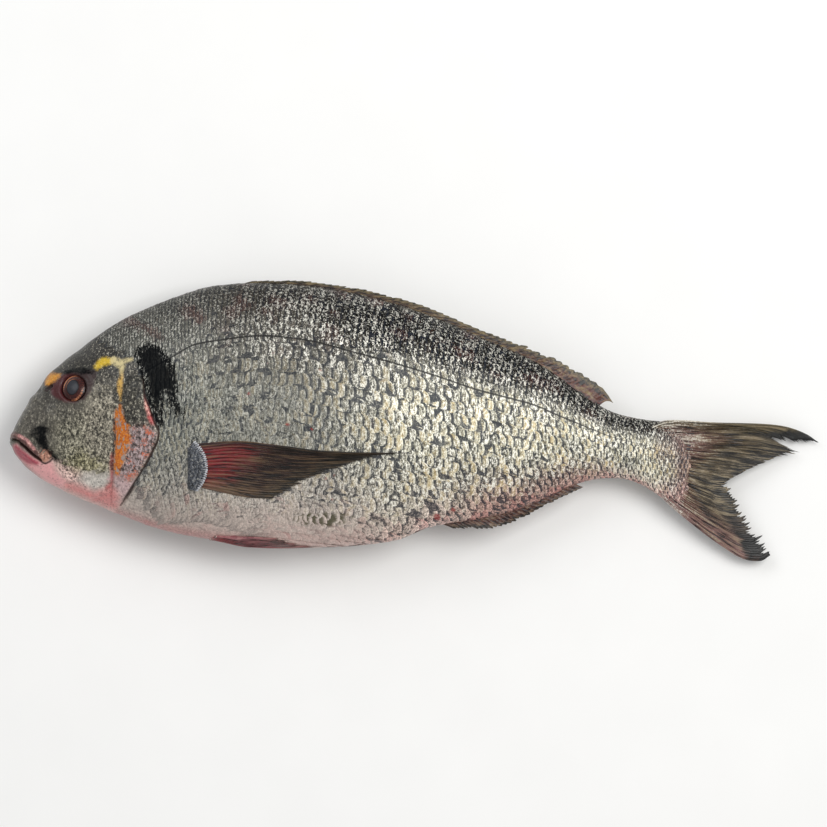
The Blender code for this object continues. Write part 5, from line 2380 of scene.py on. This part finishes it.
@dataclass
class Studio:
    """Pale floor, soft light and a camera straight above the fish."""

    frame_width: float = 357.3
    look_at: tuple[float, float, float] = (-1.1, 3.0, 22.0)
    lens: float = 300.0
    sensor: float = 36.0

    def build(self) -> None:
        """Sets the whole stage."""
        self.floor()
        self.sky()
        self.lamps()
        self.camera()

    def floor(self) -> None:
        """A pale matt floor."""
        tree = Tree("pale_floor")
        colour = tree.blend((242, 242, 241), (247, 247, 246), tree.noise(40, 2))
        surface = tree.surface(Base_Color=colour, Roughness=0.9, Specular_IOR_Level=0.1)
        reach = 2500.0
        corners = np.array(((-reach, -reach, 0), (reach, -reach, 0), (reach, reach, 0), (-reach, reach, 0)))
        floor = new_piece("floor", corners, np.array(((0, 1, 2, 3),)), surface)

    def sky(self) -> None:
        """An even pale world."""
        world = bpy.data.worlds.new("sky")
        world.use_nodes = True
        background = world.node_tree.nodes["Background"]
        background.inputs["Color"].default_value = (1.0, 1.0, 1.0, 1.0)
        background.inputs["Strength"].default_value = 0.47
        bpy.context.scene.world = world

    def lamp(self, name: str, place: tuple, size: float, power: float, colour: tuple) -> None:
        """A soft square lamp that looks at the fish.

        Args:
            name: Its name.
            place: Where it stands, in metres.
            size: The length of its side.
            power: Its power in watts.
            colour: Its colour.
        """
        data = bpy.data.lights.new(name, "AREA")
        data.size = size
        data.energy = power
        data.color = colour
        made = linked(name, data)
        made.location = place
        made.rotation_euler = direction(np.array(place) - np.array(self.look_at) * MM)

    def lamps(self) -> None:
        """Two softboxes, one above the tail and a weaker one from the back's side."""
        self.lamp("key_box", (0.68, 0.36, 1.45), 0.85, 15.5, (1.0, 0.99, 0.97))
        self.lamp("fill_box", (-0.75, 0.8, 1.1), 0.8, 5.2, (0.96, 0.98, 1.0))

    def camera(self) -> None:
        """The camera, which looks straight down with the back of the fish up."""
        data = bpy.data.cameras.new("camera")
        data.lens = self.lens
        data.sensor_width = self.sensor
        data.clip_end = 20.0
        made = linked("camera", data)
        x, y, z = self.look_at
        made.location = (x * MM, y * MM, (z + self.frame_width * self.lens / self.sensor) * MM)
        bpy.context.scene.camera = made


def direction(away: Array) -> tuple[float, float, float]:
    """The turn of a lamp that stands that way off and looks back."""
    x, y, z = away / np.linalg.norm(away)
    return 0.0, math.acos(z), math.atan2(y, x)


def main() -> None:
    """Builds the fish piece by piece."""
    logging.basicConfig(level=logging.INFO, format="%(name)s %(message)s")
    bpy.context.scene.view_settings.view_transform = "Standard"
    skin_finish = SkinFinish().make()
    skin = Skin()
    mount(skin.build(skin_finish), "skin", "fish")
    mount(TailFin().build(), "fin", "fish")
    back = FinFinish(
        "back_web", (92, 36, 34), (72, 52, 40), (88, 78, 54), (142, 124, 88), (40, 36, 30), (98, 42, 36),
    )
    anal = FinFinish(
        "anal_web", (116, 62, 56), (84, 46, 40), (44, 36, 30), (140, 118, 96), (84, 50, 44), (84, 42, 38),
    )
    for fin in (
        RidgeFin("back_fin", -86.0, 78.0, Profile((
            (-84, 58.8), (-67.4, 60.4), (-50.1, 60.5), (-37.2, 58.9), (-21.6, 56.6), (-2.6, 51.6),
            (13.4, 45.8), (27.6, 39.4), (42.3, 34.3), (53.6, 30), (62.2, 26), (71.3, 21), (81, 14),
            (85.4, 7.6),
        )), 15.0, 26, -2.0, back, 0.09),
        RidgeFin("anal_fin", 5.0, 67.0, Profile((
            (8, -46.2), (19, -46.8), (29.8, -47.1), (36.3, -46), (44.9, -42.9), (53.6, -38.5), (62.2, -33.8),
            (70.8, -29.8), (75, -27),
        )), 11.0, 14, 2.0, anal, 0.1),
    ):
        mount(fin.build(), "fin", "fish")
    pectoral = FinFinish(
        "pectoral_web", (130, 22, 32), (50, 32, 28), (42, 36, 28), (108, 88, 64), (30, 26, 24), (112, 88, 68),
        root_ends=0.5,
    ).make()
    pelvic = FinFinish(
        "pelvic_web", (168, 44, 52), (120, 58, 62), (132, 88, 84), (160, 112, 110), (168, 44, 52),
        (128, 80, 84),
    ).make()
    eye_finish = EyeFinish().make()
    for side, word in SIDES:
        mount(GillCover(side, f"gill_cover_{word}").build(skin_finish), "skin", "fish")
        mount(PectoralFin(side, f"pectoral_fin_{word}").build(pectoral), "fin", "fish")
        mount(PelvicFin(side, f"pelvic_fin_{word}").build(pelvic), "fin", "fish")
        mount(Eye(side, f"eye_dome_{word}").build(eye_finish), "eye", f"eye_{word}")
    grower, plate, scale_finish = ScaleCoat.grower(), Plate().build(), ScaleFinish().make()
    for side, word in SIDES:
        mount(ScaleCoat(side, f"scales_{word}").build(grower, plate, scale_finish), "skin", "fish")
        small = HeadScales(side, f"head_scales_{word}", GillCover(side, "cover"), skin)
        mount(small.build(grower, plate, skin_finish), "skin", "fish")
    bpy.data.objects.remove(plate)
    Studio().build()


if __name__ == "__main__":
    main()
